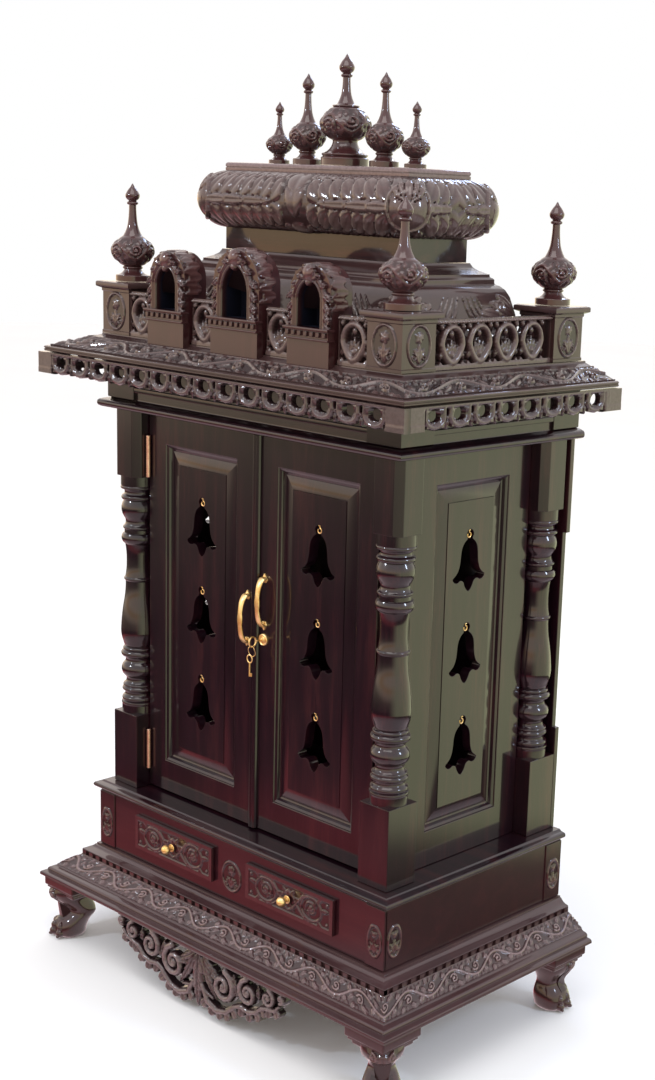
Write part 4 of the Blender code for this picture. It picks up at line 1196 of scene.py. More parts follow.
def makePost(name, x, y):
    half = postShape["block"]
    low, high = postShape["low"]
    bm = block((x - half, y - half, low), (x + half, y + half, high), .0012)
    low, high = postShape["high"]
    head = block((-half, -half, (low - high) / 2), (half, half, (high - low) / 2), 0)
    corners = [edge for edge in head.edges if abs(edge.verts[0].co.z - edge.verts[1].co.z) > .05]
    bevel(head, corners, postShape["chamfer"], 1)
    bevel(head, head.edges[:], .0009)
    join(bm, head, Matrix.Translation((x, y, (low + high) / 2)))
    join(bm, spun(arcs(postShape["turned"]), 40), Matrix.Translation((x, y, 0)))
    finishPiece(name + "Turned", bm, wood["z"], replaces=name, smooth=32)


for word, side in hands:
    for end in ("front", "back"):
        makePost(f"post_{end}_{word}", side * postShape["x"], postShape[end])
print("posts made")


# framed panels with bell piercings: the doors and the sides

panelShape = {
    "low": .372, "high": .957, "bells": (.5045, .6655, .823), "edge": .0008, "margin": .036,
    # inset and depth of the moulding round the field, from the frame inwards
    "mould": [
        (0, 0), (.0012, .0004), (.0022, .0022), (.0042, .003), (.0062, .0042), (.0075, .0068),
        (.0085, .0092), (.0112, .01), (.0122, .0094), (.032, .0052), (.0335, .005), (.034, .0036),
        (.035, .0035)],
    # half of a bell's outline: (x, z) about its centre, from the top notch to the clapper
    "bell": [
        (0, .052), (.0045, .0505), (.0078, .046), (.0082, .042), (.0062, .038), (.0066, .0352),
        (.012, .031), (.0172, .024), (.02, .014), (.0212, .002), (.023, -.008), (.0275, -.018),
        (.0345, -.0245), (.0385, -.0272), (.0378, -.031), (.0335, -.0345), (.027, -.0352), (.0215, -.0325),
        (.0165, -.033), (.012, -.0365), (.0095, -.042), (.005, -.049), (0, -.0525)],
}


def softLine(points, steps=3):
    # a smooth line through points
    points = [np.array(p) for p in points]
    ends = [2 * points[0] - points[1]] + points + [2 * points[-1] - points[-2]]
    line = []
    for a, b, c, d in zip(ends, ends[1:], ends[2:], ends[3:]):
        for step in range(steps):
            t = step / steps
            line.append(.5 * (2 * b + (c - a) * t + (2 * a - 5 * b + 4 * c - d) * t ** 2
                               + (3 * b - a - 3 * c + d) * t ** 3))
    return line + [points[-1]]


def bellCutter(corner, across, inward, middle, height):
    half = softLine(panelShape["bell"])
    outline = half + [np.array((-x, z)) for x, z in reversed(half[1:-1])]
    bm = loft([[corner + across * (middle + x) + up * (height - corner.z + z) + inward * depth
                for x, z in outline] for depth in (-.02, .04)])
    bmesh.ops.recalc_face_normals(bm, faces=bm.faces)
    return bm


hookShape = {
    "radius": .0042, "wire": .0012, "stem": .0045, "in": .0065, "over": .0505,
    "cup": [(0, .0004, 0), (.0026, .0004, .3), (.003, -.0006, 0), (.0012, -.001, 0), (0, -.001, 0)],
}


def makeHook(name, top, across, rides):
    # an open cup hook screwed up into the notch over a bell
    stem, radius = hookShape["stem"], hookShape["radius"]
    points = [(0, stem), (0, stem * .4)]
    for k in range(15):
        turn = math.radians(90 - 300 * k / 14)
        points.append((radius * math.cos(turn), -radius + radius * math.sin(turn)))
    bm = tube([top + across * x + up * (z - stem) for x, z in points], hookShape["wire"], 8)
    join(bm, spun(arcs(hookShape["cup"]), 16), Matrix.Translation(top))
    finishPiece(name, bm, metal, rides=rides)


def makePanelled(names, node, rides, corner, across, inward, size, field, thick, strip=None):
    # a slab with a moulded field on its face, bells cut through it, and a hook over each bell
    width, height = size
    u0, u1 = field
    v0, v1 = panelShape["low"] - corner.z, panelShape["high"] - corner.z
    edge, margin, mould = panelShape["edge"], panelShape["margin"], panelShape["mould"]

    def loop(a0, a1, b0, b1, depth):
        around = ((a0, b0), (a1, b0), (a1, b1), (a0, b1))
        return [corner + across * a + up * b + inward * depth for a, b in around]

    loops = [loop(0, width, 0, height, thick), loop(0, width, 0, height, edge),
             loop(edge, width - edge, edge, height - edge, 0)]
    loops += [loop(u0 + inset, u1 - inset, v0 + inset, v1 - inset, depth) for inset, depth in mould]
    bm = loft(loops)
    bmesh.ops.recalc_face_normals(bm, faces=bm.faces)
    middle = (u0 + u1) / 2
    bm = cutOut(bm, [bellCutter(corner, across, inward, middle, z) for z in panelShape["bells"]])
    rims = []
    for cut in sharpEdges(bm, 60):
        place = (cut.verts[0].co + cut.verts[1].co) / 2 - corner
        inField = u0 + margin < place.dot(across) < u1 - margin and v0 + margin < place.z < v1 - margin
        if inField and min(abs(place.dot(inward) - depth) for depth in (mould[-1][1], thick)) < .0002:
            rims.append(cut)
    bevel(bm, rims, .001, clamp=True)
    if strip:
        join(bm, strip)
    finishPiece(names[0], bm, wood["z"], rides=rides, replaces=node, smooth=16)
    for k, z in enumerate(panelShape["bells"]):
        top = corner + across * middle + inward * hookShape["in"]
        top.z = z + hookShape["over"]
        makeHook(f"{names[1]}{k + 1}", top, across, rides)


doorShape = {"face": -.135, "thick": .024, "low": .3145, "high": 1.0045, "half": .287, "meet": -.009,
             "gap": .0032, "near": .05, "far": .243, "stripWide": .0184, "stripProud": .0078}


def meetingStrip(low):
    # the reeded strip on the right door's edge, which laps over the left door
    face, wide, proud = doorShape["face"], doorShape["stripWide"], doorShape["stripProud"]
    low += .0002
    rows = []
    for z in (doorShape["low"] + .0004, doorShape["high"] - .0004):
        row = [(low, face + .004, z)]
        for share in (k / 16 for k in range(17)):
            turn = math.pi * share
            reed = abs(math.sin(2 * turn)) ** .6 if .15 < share < .85 else 0
            out = proud * (.8 * math.sin(turn) ** .6 + .2 * reed * math.sin(turn))
            row.append((low + wide * (1 - math.cos(turn)) / 2, face - out, z))
        rows.append(row + [(low + wide, face + .004, z)])
    return loft(rows)


def makeDoor(word, side, low, high):
    shape = doorShape
    name, title = f"door_{word}", word.capitalize()
    corner = Vector((low, shape["face"], shape["low"]))
    field = sorted((side * shape["near"] - low, side * shape["far"] - low))
    size = (high - low, shape["high"] - shape["low"])
    strip = meetingStrip(low) if word == "right" else None
    makePanelled((f"door{title}Panelled", f"hookDoor{title}"), name, name, corner, Vector((1, 0, 0)),
                 Vector((0, 1, 0)), size, field, shape["thick"], strip)


sideShape = {"face": .323, "thick": .022, "half": .0895, "front": body["front"] + .0663,
             "back": body["back"] - .0106 - .066}


def makeSide(word, side):
    shape = sideShape
    title = word.capitalize()
    long, low = shape["back"] - shape["front"], levels["floor"] + .0003
    corner = Vector((side * shape["face"], shape["front"], low))
    field = (long / 2 - shape["half"], long / 2 + shape["half"])
    makePanelled((f"sidePanel{title}", f"hookSide{title}"), f"side_panel_{word}", "cabinet", corner,
                 Vector((0, 1, 0)), Vector((-side, 0, 0)), (long, levels["frieze"] - .0003 - low), field,
                 shape["thick"])


halfGap = doorShape["gap"] / 2
makeDoor("left", -1, -doorShape["half"], doorShape["meet"] - halfGap)
makeDoor("right", 1, doorShape["meet"] + halfGap, doorShape["half"])
for word, side in hands:
    makeSide(word, side)
backBoard = softened("back_board", .0012)
finishPiece("backBoard", backBoard, wood["z"], replaces="back_board")
print("doors and sides made")


# brass: hinges, bow handles, the lock's rose and its keys

hingeShape = {
    "lower": .385, "upper": .93, "long": .076, "x": .2842, "y": -.14, "barrel": .0042, "knuckles": 5,
    "leafDeep": .024, "leafThick": .0012, "outer": .2887, "doorEdge": .287, "doorLeaf": .0009,
    "proud": .0003, "screwPitch": .026,
}
handleShape = {"left": (-.0195, .6865), "right": (.0235, .723), "span": .082, "proud": .016,
               "bow": (.006, .0034), "face": doorShape["face"] - .0003,
               "lug": ((-.0078, .0078), (-.0085, .0085))}
lockShape = {
    "x": .0222, "z": .657, "keyOut": .0064, "ring": .0088,
    "rose": [
        (0, .006, 0), (.003, .006, .2), (.004, .0052, -.2), (.0052, .0026, -.25), (.0088, .0032, .35),
        (.0105, .0012, 0), (.0105, 0, 0), (0, 0, 0)],
    "shank": [
        (0, .0125, 0), (.0016, .0125, 0), (.0016, .0118, .4), (.0024, .0106, .4), (.0016, .0095, 0),
        (.0016, .0006, 0), (0, .0004, 0)],
    "spare": [(0, 0, 0), (.0015, -.0004, 0), (.0015, -.024, .3), (0, -.025, 0)],
}


def turnsOf(count):
    return np.linspace(0, math.tau, count + 1)[:-1]


def screwHead(bm, place, way, radius=.0028):
    # a countersunk head, facing along way
    head = spun(arcs([(0, .0006, .1), (radius, 0, 0), (radius, -.0006, 0), (0, -.0006, 0)]), 16)
    slot = block((-radius * .8, -.0003, .0003), (radius * .8, .0003, .0008), 0)
    turn = up.rotation_difference(Vector(way)).to_matrix().to_4x4()
    join(bm, cutOut(head, [slot]), Matrix.Translation(place) @ turn)


def makeHinge(word, side, level):
    shape = hingeShape
    z, y, radius = shape[level], shape["y"], shape["barrel"]
    low, high = z - shape["long"] / 2, z + shape["long"] / 2
    profile = [(0, high, 0), (radius * .5, high, .3), (radius, high - .0016, 0)]
    for k in range(1, shape["knuckles"]):
        gap = high - shape["long"] / shape["knuckles"] * k
        profile += [(radius, gap + .0004, 0), (radius * .88, gap + .0003, 0),
                    (radius * .88, gap - .0003, 0), (radius, gap - .0004, 0)]
    profile += [(radius, low + .0016, .3), (radius * .5, low, 0), (0, low, 0)]
    bm = spun(arcs(profile), 24)
    moveBy(bm, (side * shape["x"], y, 0))
    name = f"{word.capitalize()}{level.capitalize()}"
    x0, x1 = sorted((side * shape["outer"], side * (shape["outer"] - shape["leafThick"])))
    addBlock(bm, (x0, y, low + .001), (x1, y + shape["leafDeep"], high - .001), .0003)
    finishPiece(f"hinge{name}", bm, hingeMetal, replaces=f"hinge_{word}_{level}")
    # the leaf on the door's edge moves with it; it is let in flush, and shows when the door stands open
    edge = side * shape["doorEdge"]
    x0, x1 = sorted((edge, edge - side * shape["doorLeaf"]))
    leaf = block((x0, y + .0055, low + .001), (x1, y + shape["leafDeep"], high - .001), .0002)
    moveBy(leaf, (side * shape["proud"], 0, 0))
    for k in (-1, 0, 1):
        place = (edge + side * .0004, y + .015 + .003 * (k % 2), z + k * shape["screwPitch"])
        screwHead(leaf, place, (side, 0, 0))
    finishPiece(f"hingeDoorLeaf{name}", leaf, hingeMetal, rides=f"door_{word}")


def makeHandle(word):
    shape = handleShape
    x, z = shape[word]
    face, half = shape["face"], shape["span"] / 2
    wide, thick = shape["bow"]
    side = Vector((1, 0, 0))
    loops = []
    for t in (k / 28 for k in range(29)):
        turn = math.pi * t
        proud = .0012 + shape["proud"] * math.sin(turn) ** .75
        slope = Vector((0, 0, -1)) if .12 < t < .88 else Vector((0, -1 if t < .5 else 1, -.25))
        normal = side.cross(slope).normalized()
        swell = 1 + .22 * math.cos(2 * turn) + (.22 if abs(t - .5) < .045 else 0)
        middle = Vector((x, face - proud, z + half * math.cos(turn)))
        loops.append([middle + side * (wide * swell * math.cos(a)) + normal * (thick * math.sin(a))
                      for a in (math.tau * (k + .5) / 14 for k in range(14))])
    bm = loft(loops)

    def lug(r):
        r.leaf(0, -.006, 90, .0145, .0052, 1, teeth=3)
        r.bead(0, 0, .0052, .9)
        for sign in (-1, 1):
            r.bead(sign * .0042, -.0018, .003, .75)
            r.bead(sign * .0024, -.0052, .0026, .7)

    for sign in (-1, 1):
        lay = flatLay((x, face, z + sign * half), (sign, 0, 0), (0, 0, sign))
        join(bm, carve(shape["lug"], .0006, lug, lay, .0034, base=.0004, back=0, pierced=True))
    finishPiece(f"handle{word.capitalize()}", bm, metal, rides=f"door_{word}",
                replaces=f"handle_{word}", smooth=50)


def makeLock():
    shape = lockShape
    face = handleShape["face"]
    turn = Matrix.Rotation(math.pi / 2, 4, "X")
    rose = spun(arcs(shape["rose"]), 36)
    place = Matrix.Translation((shape["x"], face, shape["z"]))
    bmesh.ops.transform(rose, matrix=place @ turn, verts=rose.verts)
    finishPiece("lockRose", rose, metal, rides="door_right", replaces="lock_rose")
    keyFront = face - shape["keyOut"]
    eye = Vector((shape["x"], keyFront - .019, shape["z"]))
    bow = [eye + Vector((0, math.cos(a) * .0074, math.sin(a) * .0086)) for a in turnsOf(32)]
    bm = tube(bow, .0014, 8, closed=True)
    place = Matrix.Translation((shape["x"], keyFront, shape["z"]))
    join(bm, spun(arcs(shape["shank"]), 16), place @ turn)
    # the split ring and the second key that hang from the bow
    low = eye + Vector((0, -.001, -.0086))
    ring = shape["ring"]
    hoop = [low + Vector((math.sin(a) * ring, .0008 * math.cos(3 * a), -ring + math.cos(a) * ring + .0012))
            for a in turnsOf(36)]
    join(bm, tube(hoop, .0006, 6, closed=True))
    top = low + Vector((-.005, 0, -.0148))
    bow = [top + Vector((math.sin(a) * .0064, 0, -.0068 + math.cos(a) * .0068)) for a in turnsOf(28)]
    join(bm, tube(bow, .0012, 8, closed=True))
    join(bm, spun(arcs(shape["spare"]), 14), Matrix.Translation(top + Vector((0, 0, -.0132))))
    addBlock(bm, top + Vector((0, -.0008, -.0372)), top + Vector((.0062, .0008, -.031)), .0003)
    finishPiece("keyRing", bm, metal, rides="door_right", replaces="key", smooth=45)


for word, side in hands:
    for level in ("lower", "upper"):
        makeHinge(word, side, level)
    makeHandle(word)
makeLock()
print("brass made")


# frieze: corner blocks with sunk boards and a lath between them, over a round nose

friezeShape = {
    "section": [
        (.0088, 1.0123), (.014, 1.0128), (.0175, 1.0145), (.019, 1.0172), (.0192, 1.02), (.0185, 1.0232),
        (.016, 1.0258), (.012, 1.0272), (.0085, 1.0282), (.0012, 1.03), (.0005, 1.032), (.0005, 1.1055)],
    "post": .068, "postSpan": (1.0305, 1.1052), "proud": .0058, "into": .001,
    # low, high, edge
    "rails": [(1.044, 1.053, .0018), (1.09, 1.105, .0012)],
}


def makeFrieze():
    shape = friezeShape
    bm = moulded(body, shape["section"])
    half, front, back = body["half"], body["front"], body["back"]
    proud, post, into = shape["proud"], shape["post"], shape["into"]
    z0, z1 = shape["postSpan"]
    for sign in (-1, 1):
        x0, x1 = sorted((sign * (half + proud), sign * (half - post)))
        for y0, y1 in ((front - proud, front + post), (back - post, back - .0004)):
            addBlock(bm, (x0, y0, z0), (x1, y1, z1), .0012)
    for z0, z1, edge in shape["rails"]:
        for sign in (-1, 1):
            x0, x1 = sorted((sign * (half + proud - .0008), sign * (half - .004)))
            addBlock(bm, (x0, front + post - into, z0), (x1, back - post + into, z1), edge)
        low = (-half + post - into, front - proud + .0008, z0)
        addBlock(bm, low, (half - post + into, front + .004, z1), edge)
    finishPiece("friezeBoards", bm, wood["x"], replaces="frieze")


makeFrieze()


# roof: a board with a lined nose and a vine on its slope, and the pierced valance under it

roofShape = {
    "section": [
        (.0782, 1.1068), (.0826, 1.1073), (.0838, 1.1086), (.0838, 1.1104), (.0826, 1.1113),
        (.0826, 1.1121), (.0838, 1.113), (.0838, 1.1146), (.0826, 1.1157), (.08, 1.1166), (.0775, 1.1166),
        (.0765, 1.116), (.0126, 1.1398), (.0118, 1.141), (.0118, 1.1428)],
    "band": [(.0755, 1.1168), (.029, 1.1341)], "depth": .0042, "cell": .00175,
    "lengths": {"front": .814, "right": .48, "left": .48},
    "vine": {"wave": .082, "margin": .001, "stem": .003, "leafy": 1.35, "edge": .0012},
}
valanceShape = {"out": .091, "thick": .014, "low": 1.068, "top": 1.1058, "middle": 1.0885, "pitch": .0548,
                "front": 15, "side": 8, "end": .035, "sideEnd": .054, "relief": .0075, "cell": .0017}


def makeRoof():
    bm = moulded(body, roofShape["section"])
    paint(bm, .42)
    addVineBands(bm, roofShape)
    finishPiece("roofCarved", bm, wood["carvedX"], replaces="roof_board", smooth=40)


def valancePattern(count, lowX, highX, first):
    # a row of pierced loops, with a leaf between each two, and a plain block at each end
    pitch, end = valanceShape["pitch"], valanceShape["end"] * .9

    def one(r):
        x = pitch / 2
        r.ring(x, 0, .0205, .015, .0044, 1, 180, 360)
        for sign in (-1, 1):
            r.stroke([(x + sign * .0205, 0), (x + sign * .02, .012)], .0044, 1)
        near = r.around(x - .02, x + .02, -.016, .012)
        scoop = np.hypot((r.x[near] - x) / .0195, (r.y[near] + .001) / .015)
        r.add(near, np.clip(.2 + .55 * scoop ** 2, 0, .85), np.full(len(near), .002))
        r.ring(x, -.001, .0135, .0105, .0012, .8, 190, 350)
        for side in (0, 1):
            r.leaf(side * pitch, -.0035, 270, .0168, .0058, .9, teeth=2)
            r.bead(side * pitch, -.0015, .0036, .85)

    def pattern(r):
        middle = r.around(lowX + end, highX - end, -1, 1)
        part = Relief(r.x[middle], r.y[middle])
        part.repeat(pitch, one, offset=first - pitch / 2)
        r.add(middle, part.rise, part.cover)
        for k in range(count):
            r.hole(first + pitch * k, .0022, .0132, .0098, 2.5)
        r.bar(lowX - 1, highX + 1, .0118, .1, .95, .0015)
        last = first + pitch * (count - 1)
        for low, high in ((lowX - 1, first - pitch * .44), (last + pitch * .44, highX + 1)):
            r.bar(low, high, -.0205, .1, .95, .0012)
            r.bar(low, high, -.0205, -.008, 1, .0012)
    return pattern


def makeValance(side, lowX, highX, first, count, origin):
    shape = valanceShape
    spans = ((lowX, highX), (shape["low"] - shape["middle"], shape["top"] - shape["middle"]))
    bm = fretwork(shape, spans, valancePattern(count, lowX, highX, first), flatLay(origin, facing[side], up))
    finishPiece(f"valance{side}Pierced", bm, wood["smokyX" if side == "front" else "smokyY"],
                replaces=f"valance_{side}", smooth=60)


def makeValances():
    shape = valanceShape
    pitch, z = shape["pitch"], shape["middle"]
    reach = body["half"] + shape["out"]
    low, high = body["front"] - shape["out"] + shape["thick"] + .0003, body["back"]
    first = low + shape["sideEnd"]
    makeValance("front", -reach, reach, -pitch * (shape["front"] - 1) / 2, shape["front"],
                (0, body["front"] - shape["out"], z))
    makeValance("left", -high, -low, -first - pitch * (shape["side"] - 1), shape["side"], (-reach, 0, z))
    makeValance("right", low, high, first, shape["side"], (reach, 0, z))


makeRoof()
makeValances()
print("frieze, roof and valance made")


# parapet: pedestals with finials, vaulted niches, and galleries of rings

finialShape = {
    "corner": [
        (0, .1663, 0), (.0018, .164, -.1), (.0052, .1585, .08), (.0112, .1495, .14), (.0124, .1462, .3),
        (.0076, .1378, 0), (.0064, .1366, 0), (.0088, .135, .5), (.0088, .131, 0), (.0062, .1296, -.03),
        (.0078, .103, -.12), (.0165, .0775, .06), (.03, .0672, .18), (.0362, .052, .2), (.027, .0335, .12),
        (.015, .0262, 0), (.0165, .0252, .5), (.0165, .0218, 0), (.0148, .0205, -.28), (.0262, .0112, 0),
        (.0285, .0106, .3), (.0292, .009, 0), (.0292, .0004, 0), (0, .0004, 0)],
    "middle": [
        (0, .1808, 0), (.002, .178, -.1), (.0056, .1722, .08), (.0118, .1628, .14), (.013, .1592, .3),
        (.008, .1505, 0), (.0066, .1492, 0), (.0088, .1478, .5), (.0088, .144, 0), (.0064, .1426, -.03),
        (.0078, .12, -.1), (.015, .1002, -.08), (.0226, .0978, 0), (.0228, .096, 0), (.0212, .095, 0),
        (.027, .0925, .12), (.0414, .0715, .22), (.0355, .05, .12), (.0215, .0415, 0), (.0208, .04, 0),
        (.0212, .0368, -.25), (.0355, .0205, 0), (.0385, .0196, .3), (.0388, .017, 0), (.0368, .015, 0),
        (.04, .013, .2), (.0402, .01, 0), (.0402, .0004, 0), (0, .0004, 0)],
    "bulb": {"corner": (.029, .074), "middle": (.044, .093)},
    "relief": .0034, "ground": .55, "girth": .034, "sides": 104, "sidesSmall": 64,
}


def makeFinial(name, x, y, z, wide=1, tall=1, kind="corner"):
    shape = finialShape
    profile = arcs(shape[kind], 4, shape["bulb"][kind])
    sides = shape["sides"] if tall > .7 else shape["sidesSmall"]
    bm = spun([(r * wide, h * tall) for r, h in profile], sides)
    low, high = (h * tall for h in shape["bulb"][kind])
    span = (high - low) / 2
    ground = shape["ground"]
    paint(bm, ground)
    layer = bm.verts.layers.float["rise"]
    band = [vert for vert in bm.verts if low < vert.co.z < high]
    places = np.array([vert.co[:] for vert in band])
    girth = math.tau * shape["girth"] * wide
    v = places[:, 2] - (low + high) / 2
    relief = Relief(np.arctan2(places[:, 1], places[:, 0]) / math.tau * girth, v)
    relief.repeat(girth / 6, vine(girth / 6, span * .92, .003 * wide, 1.5), flip=True)
    fade = np.clip((span - np.abs(v)) / (.18 * span), 0, 1)
    for vert, rise, strength in zip(band, relief.rise, fade):
        radius = math.hypot(vert.co.x, vert.co.y)
        grown = 1 + shape["relief"] * wide * (rise - .45) * strength / radius
        vert.co.x *= grown
        vert.co.y *= grown
        vert[layer] = ground + (rise - ground) * strength * .8
    moveBy(bm, (x, y, z + .0003))
    finishPiece(name.replace("_", "") + "Turned", bm, wood["redZ"], replaces=name, smooth=42)


pedestalShape = {
    "x": .3262, "front": -.1401, "back": .2185, "half": .0365, "medallion": (.0265, .033), "z": 1.1825,
    "section": [
        (.0012, 1.1434), (.0012, 1.148), (0, 1.149), (0, 1.215), (.0015, 1.2165), (.0015, 1.2205),
        (.005, 1.222), (.0084, 1.2235), (.009, 1.2245), (.009, 1.23), (.008, 1.2318), (.004, 1.2332)],
}


def makePedestal(end, word, side):
    shape = pedestalShape
    x, y, half, z = side * shape["x"], shape[end], shape["half"], shape["z"]
    plan = {"half": half, "front": -half, "back": half, "backGrows": 1}
    bm = moulded(plan, shape["section"])
    moveBy(bm, (x, y, 0))
    paint(bm, .45)
    medallion = (*shape["medallion"], .003)
    addMedallion(bm, end, (x, y + (-half if end == "front" else half), z), *medallion)
    addMedallion(bm, "right" if side > 0 else "left", (x + side * half, y, z), *medallion)
    finishPiece(f"pedestal{end.capitalize()}{word.capitalize()}Carved", bm, wood["carvedZ"],
                replaces=f"pedestal_{end}_{word}")
    makeFinial(f"finial_{end}_{word}", x, y, levels["pedestalTop"])


for end in ("front", "back"):
    for word, side in hands:
        makePedestal(end, word, side)
print("pedestals and finials made")


nicheShape = {
    "front": -.19, "deep": .052, "foot": 1.1437, "sill": (1.177, 1.197), "spring": 1.25, "wall": .01,
    # x, half width, top
    "places": {"left": (-.174, .047, 1.294), "middle": (0, .057, 1.307), "right": (.174, .047, 1.294)},
    "opening": {"share": .53, "below": .027, "spring": 1.236, "point": .08},
    # the sill's mouldings: how much wider and prouder than the niche, low, high, edge
    "mouldings": [
        (.0036, .0076, 1.1918, 1.197, .0016), (.0012, .003, 1.18, 1.192, 0),
        (.003, .0062, 1.177, 1.1804, .0012)],
    # inside is the rise of the niche's inner faces, below 0 so that they take the nearly black painted shade
    "dentil": .0122, "leaves": 13, "cell": .0014, "relief": .0105, "inside": -6,
    "scales": {"rows": 10, "deep": .038, "low": 1.224, "cell": .0017, "relief": .004},
}


def archPoints(half, low, spring, top, count=28, point=0):
    # a round or slightly pointed head over two straight sides
    points = [(half, low)]
    for turn in (math.pi * k / count for k in range(count + 1)):
        rise = math.sin(turn) * (1 - point * abs(math.cos(turn)))
        points.append((half * math.cos(turn), spring + (top - spring) * rise))
    return points + [(-half, low)]


def nichePattern(half, sill, spring, top, point):
    # a beaded arch fringed with leaves, and a bud at its crown in a ruff of leaves
    def pattern(r):
        r.stroke(archPoints(half + .003, sill, spring, top + .003, 30, point), .0032, .42)
        edge = np.array(archPoints(half + .0095, sill, spring, top + .0105, 30, point))
        r.stroke(edge, .0048, .5)
        lengths = lengthsAlong(edge)
        for k in range(nicheShape["leaves"]):
            share = (k + .5) / nicheShape["leaves"]
            at = lengths[-1] * share
            px, pz = (np.interp(at, lengths, edge[:, k]) for k in (0, 1))
            qx, qz = (np.interp(at + .001, lengths, edge[:, k]) for k in (0, 1))
            along = math.degrees(math.atan2(qz - pz, qx - px))
            lean = (52 if share < .5 else -52) * (abs(share - .5) > .05)
            length = .0135 if abs(share - .5) < .16 else .0215
            r.leaf(px, pz, along - 90 - lean, length, .0074, .8, teeth=3, lift=.3)
        for k in range(-3, 4):
            r.leaf(0, top + .004, 90 + k * 30, .0185, .0062, .8, teeth=2)
        for k in (-2, 2, -1, 1):
            r.lobe(0, top + .003, 90 + k * 34, .0215, .0078, .86, lift=.5)
        r.bead(0, top + .0118, .0142, 1, tall=1.05)
        r.bead(0, top - .002, .0066, .9)
        r.cover = np.minimum(r.cover, r.y - sill + .0002)
    return pattern


def addScales(bm, x, half, top, front):
    # rows of scales over the front of the vault
    scale = nicheShape["scales"]
    line = np.array(archPoints(half - .0015, scale["low"], nicheShape["spring"], top - .0015, 60))
    lengths = lengthsAlong(line)
    tangent = np.gradient(line, lengths, axis=0)
    pitch = lengths[-1] / scale["rows"]

    def lay(u, v, d):
        px, pz, tx, tz = (np.interp(u, lengths, a) for a in (*line.T, *tangent.T))
        return np.stack([x + px + tz * d, front + .001 + v, pz - tx * d], axis=1)

    def one(r):
        for k in (0, 1, .5):
            r.lobe(pitch * k, -.001 + .008 * (k == .5), 90, .027, .0095, 1, lift=.3)

    spans = ((0, lengths[-1]), (0, scale["deep"]))
    join(bm, carve(spans, scale["cell"], lambda r: r.repeat(pitch, one), lay, scale["relief"],
                   base=-.0003, back=-.002))


def makeNiche(word):
    shape = nicheShape
    x, half, top = shape["places"][word]
    face, front, back = shape["front"], shape["front"] + .004, shape["front"] + shape["deep"]
    low, sill = shape["sill"]
    outer = archPoints(half - .0015, shape["foot"], shape["spring"], top - .0015)
    bm = loft([[(x + px, y, pz) for px, pz in outer] for y in (front, back - .0015)])
    bevel(bm, sharpEdges(bm, 60), .0012)
    bmesh.ops.recalc_face_normals(bm, faces=bm.faces)
    opening = shape["opening"]
    innerHalf, innerTop = half * opening["share"], top - opening["below"]
    spring, point = opening["spring"], opening["point"]
    inner = archPoints(innerHalf, sill, spring, innerTop, point=point)
    tool = loft([[(x + px, y, pz) for px, pz in inner] for y in (front - .02, back - shape["wall"])])
    bmesh.ops.recalc_face_normals(tool, faces=tool.faces)
    bm = cutOut(bm, [tool])
    paint(bm, .45)
    layer = bm.verts.layers.float["rise"]
    # the niche's inner faces get a rise below 0, which paints them with the nearly black painted shade
    for vert in bm.verts:
        within = abs(vert.co.x - x) < innerHalf + .001 and sill - .001 < vert.co.z < innerTop + .001
        if within and front + .002 < vert.co.y < back - shape["wall"] + .001:
            vert[layer] = shape["inside"]
    for wider, proud, z0, z1, edge in shape["mouldings"]:
        addBlock(bm, (x - half - wider, face - proud, z0), (x + half + wider, front + .006, z1), edge)
    foot = body["front"] - .0124
    join(bm, loft([[(x + e, face, 1.1346), (x + e, foot, 1.1396), (x + e, foot, low + .001),
                    (x + e, face, low + .001)] for e in (-half, half)]))
    count = int(2 * half / shape["dentil"])
    for k in range(count):
        place = x - half - .001 + (2 * half + .002) * (k + .5) / count
        addBlock(bm, (place - .0036, face - .007, low + .0062),
                 (place + .0036, face - .002, sill - .0062), .0008, 1)
    layer = bm.verts.layers.float["rise"]
    for vert in bm.verts:
        vert[layer] = vert[layer] or .45
    lay = flatLay((x, front, 0), facing["front"], up)
    spans = ((-half - .0025, half + .0025), (sill - .0002, top + .0005))
    join(bm, carve(spans, shape["cell"], nichePattern(innerHalf, sill, spring, innerTop, point), lay,
                   shape["relief"], base=.0006, back=-.0015, pierced=True))
    addScales(bm, x, half, top, front)
    finishPiece(f"niche{word.capitalize()}Carved", bm, wood["redZ"], replaces=f"niche_{word}", smooth=42)


for word in nicheShape["places"]:
    makeNiche(word)


galleryShape = {"foot": 1.1434, "top": 1.2193, "middle": 1.1805, "thick": .014, "relief": .0085,
                "cell": .00165, "ring": (.0235, .0275), "bead": .0058, "rings": 4, "margin": .015,
                "gap": .0003}


